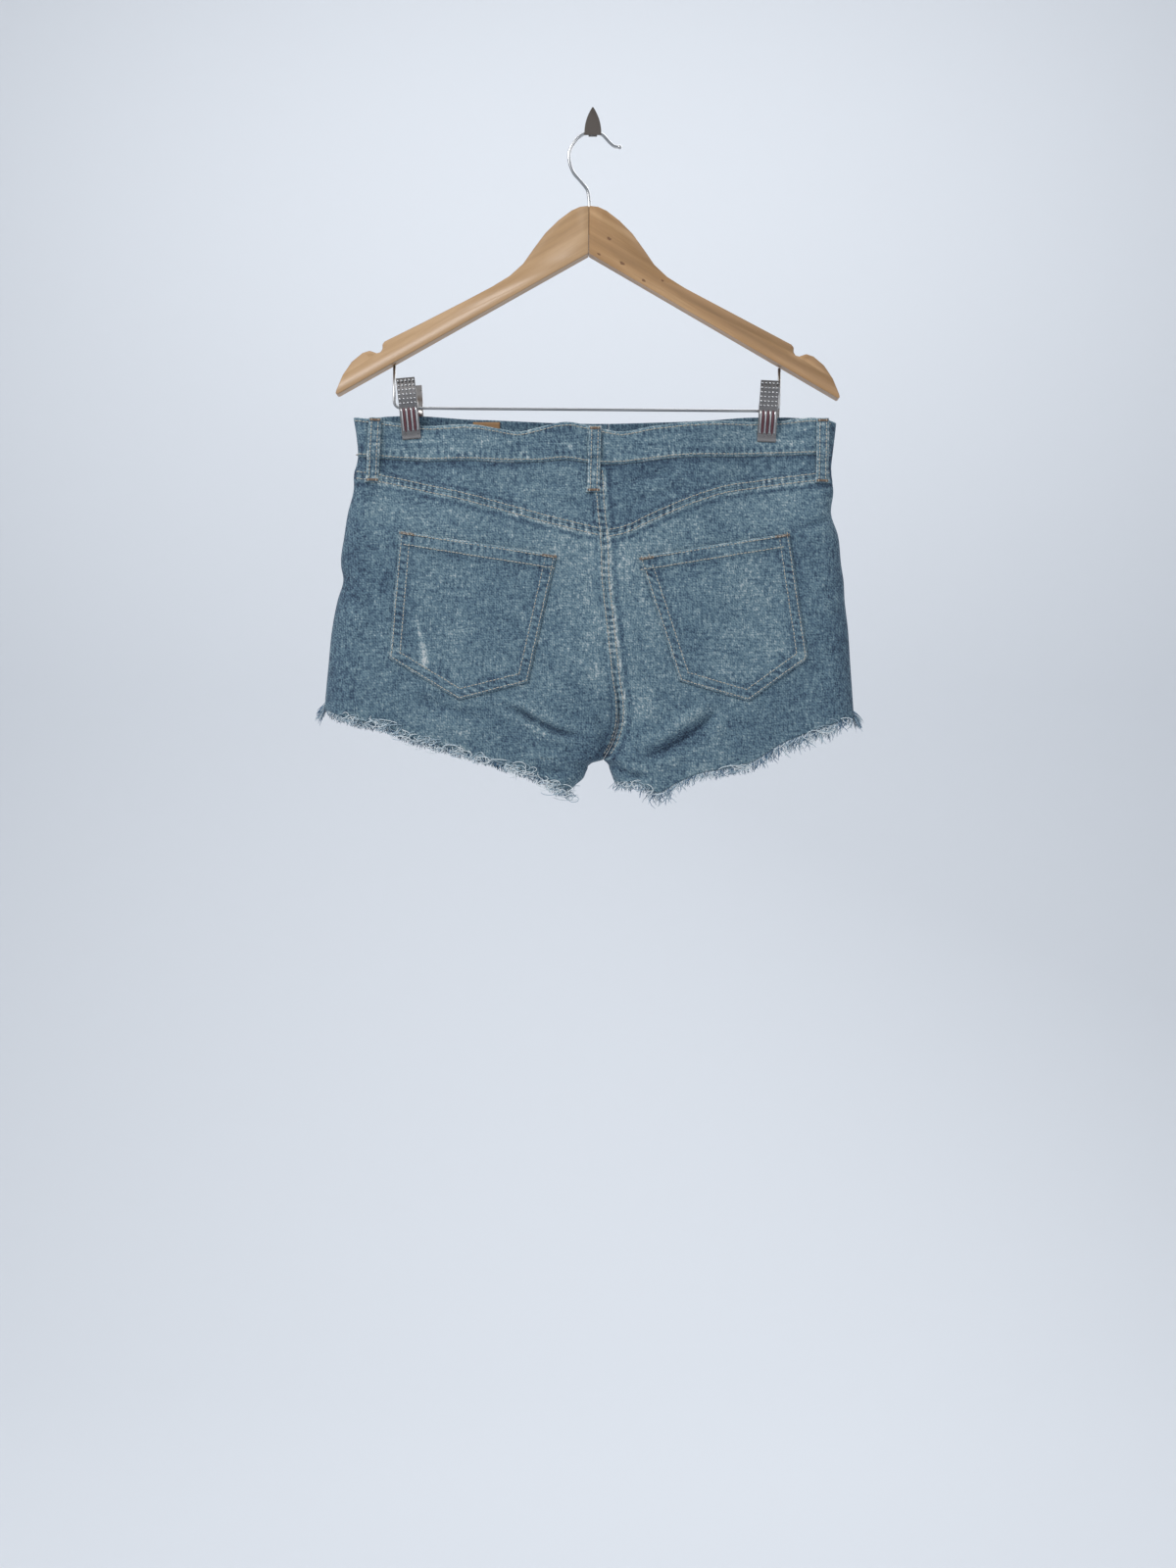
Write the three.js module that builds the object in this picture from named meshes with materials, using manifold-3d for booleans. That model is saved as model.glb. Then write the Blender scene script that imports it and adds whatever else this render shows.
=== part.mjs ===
// Frayed denim shorts hung by their waistband from the two clips of a wooden
// trouser hanger, whose steel hook rests in a small wall hook. All sizes are in millimetres.
// +Z is up, the garment's back faces -Y and +X is the wearer's right. The origin is the
// centre of the wall hook's mounting face, which lies against the wall on the +Y side.
import * as THREE from "three";
import { mergeVertices } from "three/addons/utils/BufferGeometryUtils.js";
import Module from "manifold-3d";

const wasm = await Module();
wasm.setup();

// ---------------------------------------------------------------- driving dimensions
const GAP = 0.3; // between pieces that lie on one another
const SEAM_GAP = 1.8; // between pieces that meet edge to edge
const HANG_Y = -44; // plane of the hanger and the middle of the cloth
const DENIM = 1.4; // one layer
const BAND_PROUD = 0.8; // the folded waistband stands this far out of the panels
const BAND_THICK = 3.0;
const CLIPPED = 2.6; // half depth of the cloth between the clips' jaws
const CROTCH_Z = -586;
const FRAY_REACH = 8;

const WALL_PLATE = { width: 7.6, height: 11, thick: 2.5 };
const WALL_HOOK = { bottom: -30.6, sheet: 1.5, armWidth: 7.6, lipWidth: 15, lipHeight: 24.5 };
const HANGER = { x: -3.3, z: -94.7, tilt: 0.45, thick: 12, apexDrop: 42.1 };
const HOOK_WIRE = 1.4; // radius
const BAR = { wire: 1.25, half: 171.2, offset: 0.9, drop: 179.5, top: 141.5, bend: 6 };
const CLIPS = {
  left: { x: -163.2, lean: -5.0, frontJawShift: 3.2 },
  right: { x: 155.2, lean: 2.6, frontJawShift: 3.2 },
};
const BELT_LOOP = { width: 11, thick: 1.7, bow: 1.3 };
const BUTTON = { x: 5, z: -302, radius: 8.5, height: 4 };

// ---------------------------------------------------------------- tables
// A table of smooth curves: the first column is what the others are looked up by.
function table(columns, rows) {
  const curves = {};
  columns.slice(1).forEach((name, k) => {
    const slope = (a, b) => (rows[b][k + 1] - rows[a][k + 1]) / (rows[b][0] - rows[a][0]);
    const last = rows.length - 1;
    const up = Math.sign(rows[last][0] - rows[0][0]);
    curves[name] = (at) => {
      if ((at - rows[0][0]) * up <= 0) return rows[0][k + 1];
      if ((at - rows[last][0]) * up >= 0) return rows[last][k + 1];
      let i = 0;
      while ((at - rows[i + 1][0]) * up > 0) i++;
      const step = rows[i + 1][0] - rows[i][0];
      const t = (at - rows[i][0]) / step;
      const start = slope(Math.max(i - 1, 0), i + 1) * step;
      const end = slope(i, Math.min(i + 2, last)) * step;
      const rise = rows[i + 1][k + 1] - rows[i][k + 1];
      const a = start - rise;
      const b = rise - end;
      return rows[i][k + 1] + t * rise + t * (1 - t) * (a * (1 - t) + b * t);
    };
  });
  return curves;
}

// The garment's side folds as seen from behind.
const sides = table(["z", "left", "right"], [
  [-281, -213, 217],
  [-300, -210, 215],
  [-317, -209, 213],
  [-331, -212, 212],
  [-347, -213, 214],
  [-367, -218, 212],
  [-386, -221, 218],
  [-413, -224, 221],
  [-426, -222, 223],
  [-444, -227, 224],
  [-470, -232, 227],
  [-500, -235, 229],
  [-545, -239, 232],
  [-620, -242, 235],
]);

// The seat seam, and below the crotch each leg's inner fold.
const seatSeam = table(["z", "x"], [
  [-281, 4],
  [-353, 5.6],
  [-400, 9.6],
  [-423, 10.2],
  [-470, 15],
  [-516, 20],
  [-539, 23],
  [-556, 22],
  [-572, 17],
  [-586, 9],
]);
const legInner = table(["z", "left", "right"], [
  [-586, 9, 9],
  [-588, 1, 12],
  [-595, -5, 15],
  [-603, -9, 18],
  [-608, -15, 20],
  [-614, -21, 22],
]);

// Edges that run across the garment, by x.
const backWaist = table(["x", "top", "seam"], [
  [-213, -282, -317],
  [-187, -285, -319],
  [-152, -289, -321],
  [-100, -290, -322],
  [-83, -293, -323],
  [-65, -295.5, -323],
  [-49, -292, -323],
  [-24, -287, -321],
  [4, -292, -325],
  [24, -295.5, -325],
  [51, -291, -322],
  [75, -288, -319],
  [112, -286, -318],
  [164, -285, -316],
  [198, -283, -316],
  [217, -287, -317],
]);
const frontWaist = table(["x", "top", "seam"], [
  [-213, -282, -317],
  [-180, -280, -317],
  [-100, -282, -319],
  [0, -285.5, -322],
  [70, -284, -320],
  [150, -281, -317],
  [200, -283, -316],
  [217, -287, -317],
]);
const yoke = table(["x", "seam"], [
  [-213, -333],
  [-186, -337],
  [-140, -347],
  [-93, -359],
  [-47, -372],
  [-3, -383],
  [12, -386],
  [29, -383],
  [48, -374],
  [92, -355],
  [117, -347],
  [150, -341],
  [213, -334],
]);
const backHem = {
  left: table(["x", "z"], [
    [-240, -540],
    [-221, -548],
    [-182, -557],
    [-162, -566],
    [-132, -574],
    [-90, -587],
    [-61, -596],
    [-46, -601],
    [-29, -610],
    [-19, -613],
  ]),
  right: table(["x", "z"], [
    [20, -606],
    [43, -608],
    [55, -615],
    [75, -606],
    [91, -599],
    [121, -593],
    [140, -588],
    [166, -572],
    [197, -560],
    [233, -547],
  ]),
};
const FRONT_HEM_DROP = { left: -2.5, right: 2.5 };
const frontPocketScoop = { reach: 92, depth: 62 }; // from the side fold, and below the band

// How far the cloth stands from its middle plane, and how round its folds are.
const depth = table(["z", "back", "front", "fold", "innerFold"], [
  [-281, 9, 8, 12, 20],
  [-317, 9.6, 8.6, 13, 20],
  [-345, 12, 10, 16, 22],
  [-385, 15.5, 12, 20, 26],
  [-430, 18, 13.5, 24, 30],
  [-480, 19, 14, 26, 34],
  [-530, 18.5, 13.5, 24, 34],
  [-570, 16, 12.5, 20, 28],
  [-620, 14, 12, 18, 16],
]);

// The largest creases of the back: a line of points [x, z], and a trough's width and depth.
const creases = [
  { line: [[108, -546], [85, -565], [62, -580], [40, -588]], width: 10, deep: 4.5 },
  { line: [[12, -588], [31, -599], [52, -603]], width: 6, deep: 2.5 },
  { line: [[-84, -537], [-51, -550], [-30, -562], [-3, -568]], width: 7, deep: 3 },
  { line: [[-146, -535], [-127, -546], [-90, -555]], width: 11, deep: 2.5 },
  { line: [[-62, -595], [-40, -598], [-12, -597]], width: 8, deep: 2 },
  { line: [[-118, -330], [-75, -340], [-40, -345]], width: 16, deep: 2 },
  { line: [[28, -346], [60, -338], [90, -330]], width: 16, deep: 2 },
];

// ---------------------------------------------------------------- the cloth's form
const clamp = (v, low = 0, high = 1) => Math.min(Math.max(v, low), high);
const mix = (a, b, t) => a + (b - a) * t;
const ease = (t) => clamp(t) ** 2 * (3 - 2 * clamp(t));
// The height of a quarter circle of unit size at a distance from its edge.
const arc = (distance, radius) => Math.sqrt(1 - (1 - clamp(distance / radius)) ** 2);
const inner = (z, half) => (z >= CROTCH_Z ? seatSeam.x(z) : legInner[half](z));

// How firmly the clips hold the cloth at x: 1 under a jaw, 0 well away from both.
function clipHold(x) {
  const near = Math.min(...Object.values(CLIPS).map((clip) => Math.abs(x - clip.x)));
  return 1 - ease((near - 10) / 42);
}

function creaseDepth(x, z) {
  let total = 0;
  for (const { line, width, deep } of creases) {
    let nearest = Infinity;
    let along = 0;
    const spans = line.length - 1;
    for (let i = 0; i < spans; i++) {
      const [ax, az] = line[i];
      const [bx, bz] = line[i + 1];
      const length2 = (bx - ax) ** 2 + (bz - az) ** 2;
      const t = clamp(((x - ax) * (bx - ax) + (z - az) * (bz - az)) / length2);
      const away = Math.hypot(x - mix(ax, bx, t), z - mix(az, bz, t));
      if (away < nearest) {
        nearest = away;
        along = (i + t) / spans;
      }
    }
    total += deep * Math.exp(-((nearest / width) ** 2)) * ease(Math.min(along, 1 - along) * 4);
  }
  return total;
}

// Half depth of the cloth's surface at x, z on the "back" or "front", in the "left" or
// "right" half. `inset` moves the surface in, and a negative one moves it out.
function halfDepth(x, z, side, half, inset) {
  const left = sides.left(z);
  const right = sides.right(z);
  const toSide = half === "left" ? x - left : right - x;
  const toInner = Math.max(half === "left" ? inner(z, half) - x : x - inner(z, half), 0);
  const held = clipHold(x) * (1 - ease((-318 - z) / 75));
  const arch = 0.78 + 0.22 * Math.sin(Math.PI * clamp((x - left) / (right - left)));
  let h = mix(depth[side](z) * arch, CLIPPED, held);
  if (side === "back") h -= creaseDepth(x, z);
  const innerFold = depth.innerFold(z);
  if (z >= CROTCH_Z) {
    const pinch = ease((-480 - z) / (-480 - CROTCH_Z)) ** 1.5;
    h = Math.max(h * (1 - pinch * (1 - arc(toInner, innerFold))), DENIM + 1);
  }
  h = (h - inset) * arc(toSide - inset, depth.fold(z) - inset);
  return z >= CROTCH_Z ? h : h * arc(toInner - inset, innerFold - inset);
}

// A point of the cloth, kept half a gap behind or before the middle plane.
function clothPoint(x, z, side, half, inset) {
  const out = Math.max(halfDepth(x, z, side, half, inset), GAP / 2);
  return [x, HANG_Y + (side === "back" ? -out : out), z];
}

// ---------------------------------------------------------------- solids
function meshOf(positions, faces) {
  const corner = (i) => new THREE.Vector3(...positions[i]);
  let volume = 0;
  for (const [a, b, c] of faces) volume += corner(a).dot(corner(b).cross(corner(c)));
  const facing = volume < 0 ? faces.map(([a, b, c]) => [a, c, b]) : faces;
  const geometry = new THREE.BufferGeometry();
  geometry.setAttribute("position", new THREE.Float32BufferAttribute(positions.flat(), 3));
  geometry.setIndex(facing.flat());
  geometry.computeVertexNormals();
  return geometry;
}

// A closed wall over a grid of columns and rows. point(i, j, k) is on its outer face for
// k = 0 and on its inner face for k = 1.
function wall(columns, rows, point) {
  const positions = [];
  const faces = [];
  const at = (i, j, k) => (k * (rows + 1) + j) * (columns + 1) + i;
  for (let k = 0; k < 2; k++) {
    for (let j = 0; j <= rows; j++) {
      for (let i = 0; i <= columns; i++) positions.push(point(i, j, k));
    }
  }
  const quad = (a, b, c, d) => faces.push([a, b, c], [a, c, d]);
  for (let j = 0; j < rows; j++) {
    for (let i = 0; i < columns; i++) {
      quad(at(i, j, 0), at(i + 1, j, 0), at(i + 1, j + 1, 0), at(i, j + 1, 0));
      quad(at(i, j, 1), at(i, j + 1, 1), at(i + 1, j + 1, 1), at(i + 1, j, 1));
    }
    quad(at(0, j, 0), at(0, j + 1, 0), at(0, j + 1, 1), at(0, j, 1));
    quad(at(columns, j, 0), at(columns, j, 1), at(columns, j + 1, 1), at(columns, j + 1, 0));
  }
  for (let i = 0; i < columns; i++) {
    quad(at(i, 0, 0), at(i, 0, 1), at(i + 1, 0, 1), at(i + 1, 0, 0));
    quad(at(i, rows, 0), at(i + 1, rows, 0), at(i + 1, rows, 1), at(i, rows, 1));
  }
  return meshOf(positions, faces);
}

function toSolid(geometry) {
  const bare = new THREE.BufferGeometry();
  bare.setAttribute("position", geometry.getAttribute("position"));
  bare.setIndex(geometry.index);
  const merged = mergeVertices(bare, 1e-3);
  return new wasm.Manifold(
    new wasm.Mesh({
      numProp: 3,
      vertProperties: new Float32Array(merged.attributes.position.array),
      triVerts: new Uint32Array(merged.index.array),
    }),
  );
}

function fromSolid(solid) {
  const mesh = solid.getMesh();
  const geometry = new THREE.BufferGeometry();
  geometry.setAttribute("position", new THREE.BufferAttribute(mesh.vertProperties, 3));
  geometry.setIndex(new THREE.BufferAttribute(mesh.triVerts, 1));
  geometry.computeVertexNormals();
  return geometry;
}

function joined(...geometries) {
  return fromSolid(geometries.map(toSolid).reduce((all, next) => all.add(next)));
}

// ---------------------------------------------------------------- materials
const finish = (color, roughness, metalness = 0) =>
  new THREE.MeshStandardMaterial({ color, roughness, metalness });
const denim = finish(0x55708c, 0.9);
const denimSeam = finish(0x647d92, 0.9);
const fray = finish(0xb9cdd2, 0.95);
const wood = finish(0xb8925f, 0.5);
const steel = finish(0xb4b6b8, 0.25, 1);
const darkMetal = finish(0x55504b, 0.6, 0.3);

function named(name, geometry, material) {
  const mesh = new THREE.Mesh(geometry, material);
  mesh.name = name;
  return mesh;
}

// ---------------------------------------------------------------- garment pieces
// Positions across a half panel: round at the side fold and at the inner fold.
const FOLD_ANGLES = [0, 24, 48, 70, 90].map(THREE.MathUtils.degToRad);
const MIDDLE_STEPS = 8;
function across(z, half, column, inset, from, to) {
  const outer = half === "left" ? sides.left(z) + inset : sides.right(z) - inset;
  const side = depth.fold(z) - inset;
  const turnIn = half === "left" ? -inset : inset;
  const last = inner(z, half) + (z >= CROTCH_Z ? 0 : turnIn);
  const into = depth.innerFold(z) * 0.6 - (z >= CROTCH_Z ? 0 : inset);
  const sign = half === "left" ? 1 : -1;
  const arcs = FOLD_ANGLES.length - 1;
  const start = outer + sign * side;
  const end = last - sign * (into + SEAM_GAP / 2);
  let x = mix(start, end, (column - arcs) / MIDDLE_STEPS);
  if (column < arcs) x = outer + sign * side * (1 - Math.cos(FOLD_ANGLES[column]));
  if (column > arcs + MIDDLE_STEPS) {
    const angle = FOLD_ANGLES[2 * arcs + MIDDLE_STEPS - column];
    x = last - sign * (into * (1 - Math.cos(angle)) + SEAM_GAP / 2);
  }
  return clamp(x, from, to);
}

// A panel of one half between two edges that run across, each a function of x.
function halfPanel(side, half, top, bottom, rows, outset = 0, thick = DENIM) {
  const columns = 2 * (FOLD_ANGLES.length - 1) + MIDDLE_STEPS;
  return wall(columns, rows, (i, j, k) => {
    const inset = k * thick - outset;
    let z = -450;
    let x = 0;
    for (let pass = 0; pass < 6; pass++) {
      x = across(z, half, i, inset, -Infinity, Infinity);
      z = mix(top(x), bottom(x), j / rows);
    }
    return clothPoint(x, z, side, half, inset);
  });
}

// A strip between two x positions, from one edge to another, lying `outset` off the cloth.
function strip(side, fromX, toX, top, bottom, columns, rows, outset, thick) {
  return wall(columns, rows, (i, j, k) => {
    const inset = k * thick - outset;
    const x = mix(fromX, toX, i / columns);
    const z = mix(top(x), bottom(x), j / rows);
    const half = x < inner(z, "left") ? "left" : "right";
    return clothPoint(x, z, side, half, inset);
  });
}

// The waistband from one x to another. Where it reaches a side fold it turns with it.
function bandPiece(side, edges, fromX, toX, columns, roundLeft, roundRight) {
  const arcs = FOLD_ANGLES.length - 1;
  return wall(columns, 2, (i, j, k) => {
    const inset = k * BAND_THICK - BAND_PROUD;
    let z = -300;
    let x = 0;
    for (let pass = 0; pass < 4; pass++) {
      const fold = depth.fold(z) - inset;
      const low = roundLeft ? sides.left(z) + inset : fromX;
      const high = roundRight ? sides.right(z) - inset : toX;
      const start = roundLeft ? low + fold : fromX;
      const end = roundRight ? high - fold : toX;
      const first = roundLeft ? arcs : 0;
      const final = roundRight ? columns - arcs : columns;
      x = mix(start, end, (i - first) / (final - first));
      if (i < first) x = low + fold * (1 - Math.cos(FOLD_ANGLES[i]));
      if (i > final) x = high - fold * (1 - Math.cos(FOLD_ANGLES[columns - i]));
      z = mix(edges.top(x), edges.seam(x) + SEAM_GAP / 2, j / 2);
    }
    return clothPoint(x, z, side, x < 0 ? "left" : "right", inset);
  });
}

function makeWaistband() {
  const opening = BUTTON.x + 9;
  return [
    named("waistband_back", bandPiece("back", backWaist, 0, 0, 32, true, true), denimSeam),
    named(
      "waistband_front_left",
      bandPiece("front", frontWaist, 0, opening, 18, true, false),
      denimSeam,
    ),
    named(
      "waistband_front_right",
      bandPiece("front", frontWaist, opening + GAP, 0, 18, false, true),
      denimSeam,
    ),
  ];
}

// The front panel's upper edge dips in a scoop at the front pocket.
function scoopTop(half) {
  return (x) => {
    const band = frontWaist.seam(x) - SEAM_GAP / 2;
    const toSide = half === "left" ? x - sides.left(-340) : sides.right(-340) - x;
    const share = clamp(toSide / frontPocketScoop.reach);
    return band - frontPocketScoop.depth * Math.sqrt(1 - share ** 2) ** 1.2;
  };
}

function makePanels() {
  const made = [];
  for (const half of ["left", "right"]) {
    const hem = backHem[half].z;
    const frontHem = (x) => hem(x) + FRONT_HEM_DROP[half];
    const bandSeam = (x) => backWaist.seam(x) - SEAM_GAP / 2;
    const yokeTop = (x) => yoke.seam(x) + SEAM_GAP / 2;
    const yokeBottom = (x) => yoke.seam(x) - SEAM_GAP / 2;
    made.push(
      named(`yoke_${half}`, halfPanel("back", half, bandSeam, yokeTop, 3), denim),
      named(`back_${half}`, halfPanel("back", half, yokeBottom, hem, 11), denim),
      named(`front_${half}`, halfPanel("front", half, scoopTop(half), frontHem, 9), denim),
    );
  }
  return made;
}

// The denim that shows inside each front pocket's scoop, from the side fold inwards.
function makePocketFacings() {
  const columns = 10;
  const rows = 4;
  return ["left", "right"].map((half) => {
    const edge = scoopTop(half);
    const geometry = wall(columns, rows, (i, j, k) => {
      const inset = DENIM + 3 * GAP + k * DENIM;
      const share = i / columns;
      const reach = inset + (frontPocketScoop.reach + 4) * share ** 1.7;
      let z = -340;
      let x = 0;
      for (let pass = 0; pass < 6; pass++) {
        x = half === "left" ? sides.left(z) + reach : sides.right(z) - reach;
        const top = frontWaist.seam(x) - SEAM_GAP / 2;
        z = mix(top, Math.min(edge(x) - 16, top - 20), j / rows);
      }
      return clothPoint(x, z, "front", half, inset);
    });
    return named(`front_pocket_facing_${half}`, geometry, denim);
  });
}

// Each back pocket is a five-sided patch. Corners are [x, z].
const BACK_POCKETS = {
  left: {
    top: [[-170, -384.5], [-32, -406]],
    bottom: [[-179, -497], [-118, -533.5], [-57, -518]],
  },
  right: {
    top: [[40.5, -407.5], [173, -386.5]],
    bottom: [[76.5, -517], [137, -534.5], [189, -497]],
  },
};

function makeBackPockets() {
  const columns = 8;
  const rows = 6;
  return Object.entries(BACK_POCKETS).map(([half, { top, bottom }]) => {
    const geometry = wall(columns, rows, (i, j, k) => {
      const u = i / columns;
      const part = u < 0.5 ? 0 : 1;
      const t = u * 2 - part;
      const v = j / rows;
      const topX = mix(top[0][0], top[1][0], u);
      const topZ = mix(top[0][1], top[1][1], u);
      const x = mix(topX, mix(bottom[part][0], bottom[part + 1][0], t), v);
      const z = mix(topZ, mix(bottom[part][1], bottom[part + 1][1], t), v);
      return clothPoint(x, z, "back", half, k * DENIM - DENIM - GAP);
    });
    return named(`back_pocket_${half}`, geometry, denim);
  });
}

// Belt loops: x at the top and bottom, the upper and lower ends, and the side they are on.
const BELT_LOOPS = [
  { name: "back_left", side: "back", topX: -192.6, endX: -195.5, top: -283, end: -340 },
  { name: "back_centre", side: "back", topX: 2, endX: 0.5, top: -291, end: -350 },
  { name: "back_right", side: "back", topX: 203.5, endX: 203, top: -284, end: -341 },
  { name: "front_left", side: "front", topX: -112, endX: -112, top: -281.5, end: -338 },
  { name: "front_right", side: "front", topX: 116, endX: 116, top: -282, end: -338 },
];

function makeBeltLoops() {
  const rows = 7;
  return BELT_LOOPS.map(({ name, side, topX, endX, top, end }) => {
    const geometry = wall(3, rows, (i, j, k) => {
      const v = j / rows;
      const x = mix(topX, endX, v) + BELT_LOOP.width * (i / 3 - 0.5);
      const lift = BAND_PROUD + 2 * GAP + BELT_LOOP.bow * Math.sin(Math.PI * v);
      const inset = -lift - BELT_LOOP.thick * (1 - k);
      return clothPoint(x, mix(top, end, v), side, x < 0 ? "left" : "right", inset);
    });
    return named(`belt_loop_${name}`, geometry, denimSeam);
  });
}

// The shield behind the fly opening, and the zip tape between it and the front.
function makeFly() {
  const top = (x) => frontWaist.seam(x) - SEAM_GAP / 2;
  const end = (drop) => (x) => top(x) - drop;
  const centre = BUTTON.x;
  return [
    named(
      "fly_zip",
      strip("front", centre - 9, centre + 9, top, end(96), 3, 6, -DENIM - GAP, 0.8),
      steel,
    ),
    named(
      "fly_shield",
      strip("front", centre - 16, centre + 20, top, end(104), 4, 6, -DENIM - 0.8 - 2 * GAP, DENIM),
      denim,
    ),
  ];
}

function makeButton() {
  const { radius, height } = BUTTON;
  const profile = [[0, 0], [2.2, 0], [2.2, 1.2], [radius - 1, 1.4], [radius, 2.2],
    [radius, height - 1.2], [radius - 1.4, height], [radius - 3, height - 0.8], [0, height - 0.6]];
  const geometry = new THREE.LatheGeometry(profile.map((p) => new THREE.Vector2(...p)), 24);
  const button = named("waist_button", geometry, steel);
  const out = halfDepth(BUTTON.x, BUTTON.z, "front", "left", -BAND_PROUD);
  button.position.set(BUTTON.x, HANG_Y + out + GAP, BUTTON.z);
  return button;
}

// The reach of the loose threads below each cut edge.
function makeFray() {
  const made = [];
  for (const half of ["left", "right"]) {
    for (const side of ["back", "front"]) {
      const edge = (x) => backHem[half].z(x) + (side === "front" ? FRONT_HEM_DROP[half] : 0) - GAP;
      const end = (x) => edge(x) - FRAY_REACH;
      const geometry = halfPanel(side, half, edge, end, 1, -0.1, 1.2);
      made.push(named(`fray_${side}_${half}`, geometry, fray));
    }
  }
  return made;
}

// ---------------------------------------------------------------- hanger
// Half of the wooden body, from the joint at x = 0: its upper edge out to the tip.
const ARM_TOP = [[0, 0], [8, -0.9], [15.6, -4.3], [27, -13], [38.8, -24.7], [48.7, -38.2],
  [58.2, -51.9], [69.8, -62.6], [85.2, -72.2], [108.6, -84.8], [147.4, -105.1], [180.3, -121.7]];
const ARM_NOTCH = [[182.3, -124.2], [182.3, -128.4], [184, -131.3], [187.3, -132.2], [193.5, -130]];
const ARM_TIP = [[199.9, -132.1], [209.4, -140], [217.3, -151.7], [223, -165.4], [223.6, -168],
  [221.8, -168.9]];

function armGeometry(side) {
  const outline = [...ARM_TOP, ...ARM_NOTCH, ...ARM_TIP, [0, -HANGER.apexDrop]];
  const points = outline.map(([x, z]) => new THREE.Vector2(side * Math.max(x, GAP / 2), z));
  const flat = new THREE.ExtrudeGeometry(new THREE.Shape(points), {
    depth: HANGER.thick,
    bevelEnabled: false,
  });
  flat.rotateX(Math.PI / 2).translate(0, HANGER.thick / 2, 0);
  const sockets = new THREE.CylinderGeometry(HOOK_WIRE + GAP, HOOK_WIRE + GAP, 60, 12);
  sockets.rotateX(Math.PI / 2);
  const barHole = new THREE.CylinderGeometry(BAR.wire + GAP, BAR.wire + GAP, 20, 12);
  barHole.rotateX(Math.PI / 2).translate(side * BAR.half - BAR.offset, 0, -BAR.top - 10 + 9);
  return fromSolid(toSolid(flat).subtract(toSolid(sockets)).subtract(toSolid(barHole)));
}

// A round wire along a path, as a polygonal tube with closed ends.
function wireGeometry(path, radius, steps, sidesRound = 10) {
  const section = new THREE.Shape();
  for (let i = 0; i < sidesRound; i++) {
    const angle = (i / sidesRound) * 2 * Math.PI;
    const point = [radius * Math.cos(angle), radius * Math.sin(angle)];
    if (i) section.lineTo(...point);
    else section.moveTo(...point);
  }
  return new THREE.ExtrudeGeometry(section, { steps, extrudePath: path, bevelEnabled: false });
}

const HOOK_ROUTE = [[0, -24], [0, -8], [-0.1, 8], [-1.6, 15.5], [-7.2, 23], [-14, 31], [-17.6, 40],
  [-18.2, 48.5], [-14.6, 57], [-7, 64.8], [3.3, 67.9], [11, 65.2], [18.2, 58], [22, 55], [26.8, 54.3]];

function makeHook() {
  const points = HOOK_ROUTE.map(([x, z]) => new THREE.Vector3(x, 0, z));
  const path = new THREE.CatmullRomCurve3(points, false, "centripetal");
  const ball = new THREE.SphereGeometry(HOOK_WIRE * 1.35, 10, 6);
  ball.translate(points.at(-1).x, 0, points.at(-1).z);
  return named("hanger_hook", joined(wireGeometry(path, HOOK_WIRE, 34), ball), steel);
}

// The bar: two short uprights out of the arms, and the long rail that carries the clips.
function makeBar() {
  const { half, offset, drop, top, bend, wire } = BAR;
  const path = new THREE.CurvePath();
  const corner = (x, z) => new THREE.Vector3(x, 0, z);
  const left = -half - offset;
  const right = half - offset;
  path.add(new THREE.LineCurve3(corner(left, -top), corner(left, -drop + bend)));
  path.add(
    new THREE.QuadraticBezierCurve3(
      corner(left, -drop + bend),
      corner(left, -drop),
      corner(left + bend, -drop),
    ),
  );
  path.add(new THREE.LineCurve3(corner(left + bend, -drop), corner(right - bend, -drop)));
  path.add(
    new THREE.QuadraticBezierCurve3(
      corner(right - bend, -drop),
      corner(right, -drop),
      corner(right, -drop + bend),
    ),
  );
  path.add(new THREE.LineCurve3(corner(right, -drop + bend), corner(right, -top)));
  return named("hanger_bar", wireGeometry(path, wire, 30), steel);
}

function makeHanger() {
  const group = new THREE.Group();
  group.add(named("hanger_arm_left", armGeometry(-1), wood));
  group.add(named("hanger_arm_right", armGeometry(1), wood));
  group.add(makeHook(), makeBar());
  group.position.set(HANGER.x, HANG_Y, HANGER.z);
  group.rotation.y = THREE.MathUtils.degToRad(HANGER.tilt);
  return group;
}

// ---------------------------------------------------------------- clips
// Side view of a jaw's sheet: [distance out from the middle plane, height above the bar].
const JAW = {
  width: 16.5,
  sheet: 1.1,
  grip: CLIPPED + BAND_PROUD + GAP,
  line: [[0, -28.5], [0.6, -24], [4.6, -8], [5.2, 2], [12, 23.5]],
  earTop: 5,
  earEnd: -9,
};
const SPRING = { radius: 3.6, length: 9 };

function jawGeometry() {
  const { line, sheet, grip, width, earTop, earEnd } = JAW;
  const inside = line.map(([out, up]) => new THREE.Vector2(grip + out, up));
  const outside = line.map(([out, up]) => new THREE.Vector2(grip + out + sheet, up - 0.2)).reverse();
  const plate = new THREE.ExtrudeGeometry(new THREE.Shape([...inside, ...outside]), {
    depth: width,
    bevelEnabled: false,
  });
  const earCorners = [[SPRING.radius + 0.4, -1.6], [grip + 5, earEnd], [grip + 5.4, earTop],
    [SPRING.radius + 0.6, earTop - 1]];
  const ear = new THREE.Shape(earCorners.map((p) => new THREE.Vector2(...p)));
  const ears = [0, width - sheet].map((at) => {
    const geometry = new THREE.ExtrudeGeometry(ear, { depth: sheet, bevelEnabled: false });
    return geometry.translate(0, 0, at);
  });
  // Shape x is the distance out and shape y is up; the extrusion runs along the bar.
  const turned = new THREE.Matrix4();
  turned.set(0, 0, -1, width / 2, -1, 0, 0, 0, 0, 1, 0, 0, 0, 0, 0, 1);
  return joined(plate, ...ears).applyMatrix4(turned);
}

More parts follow.
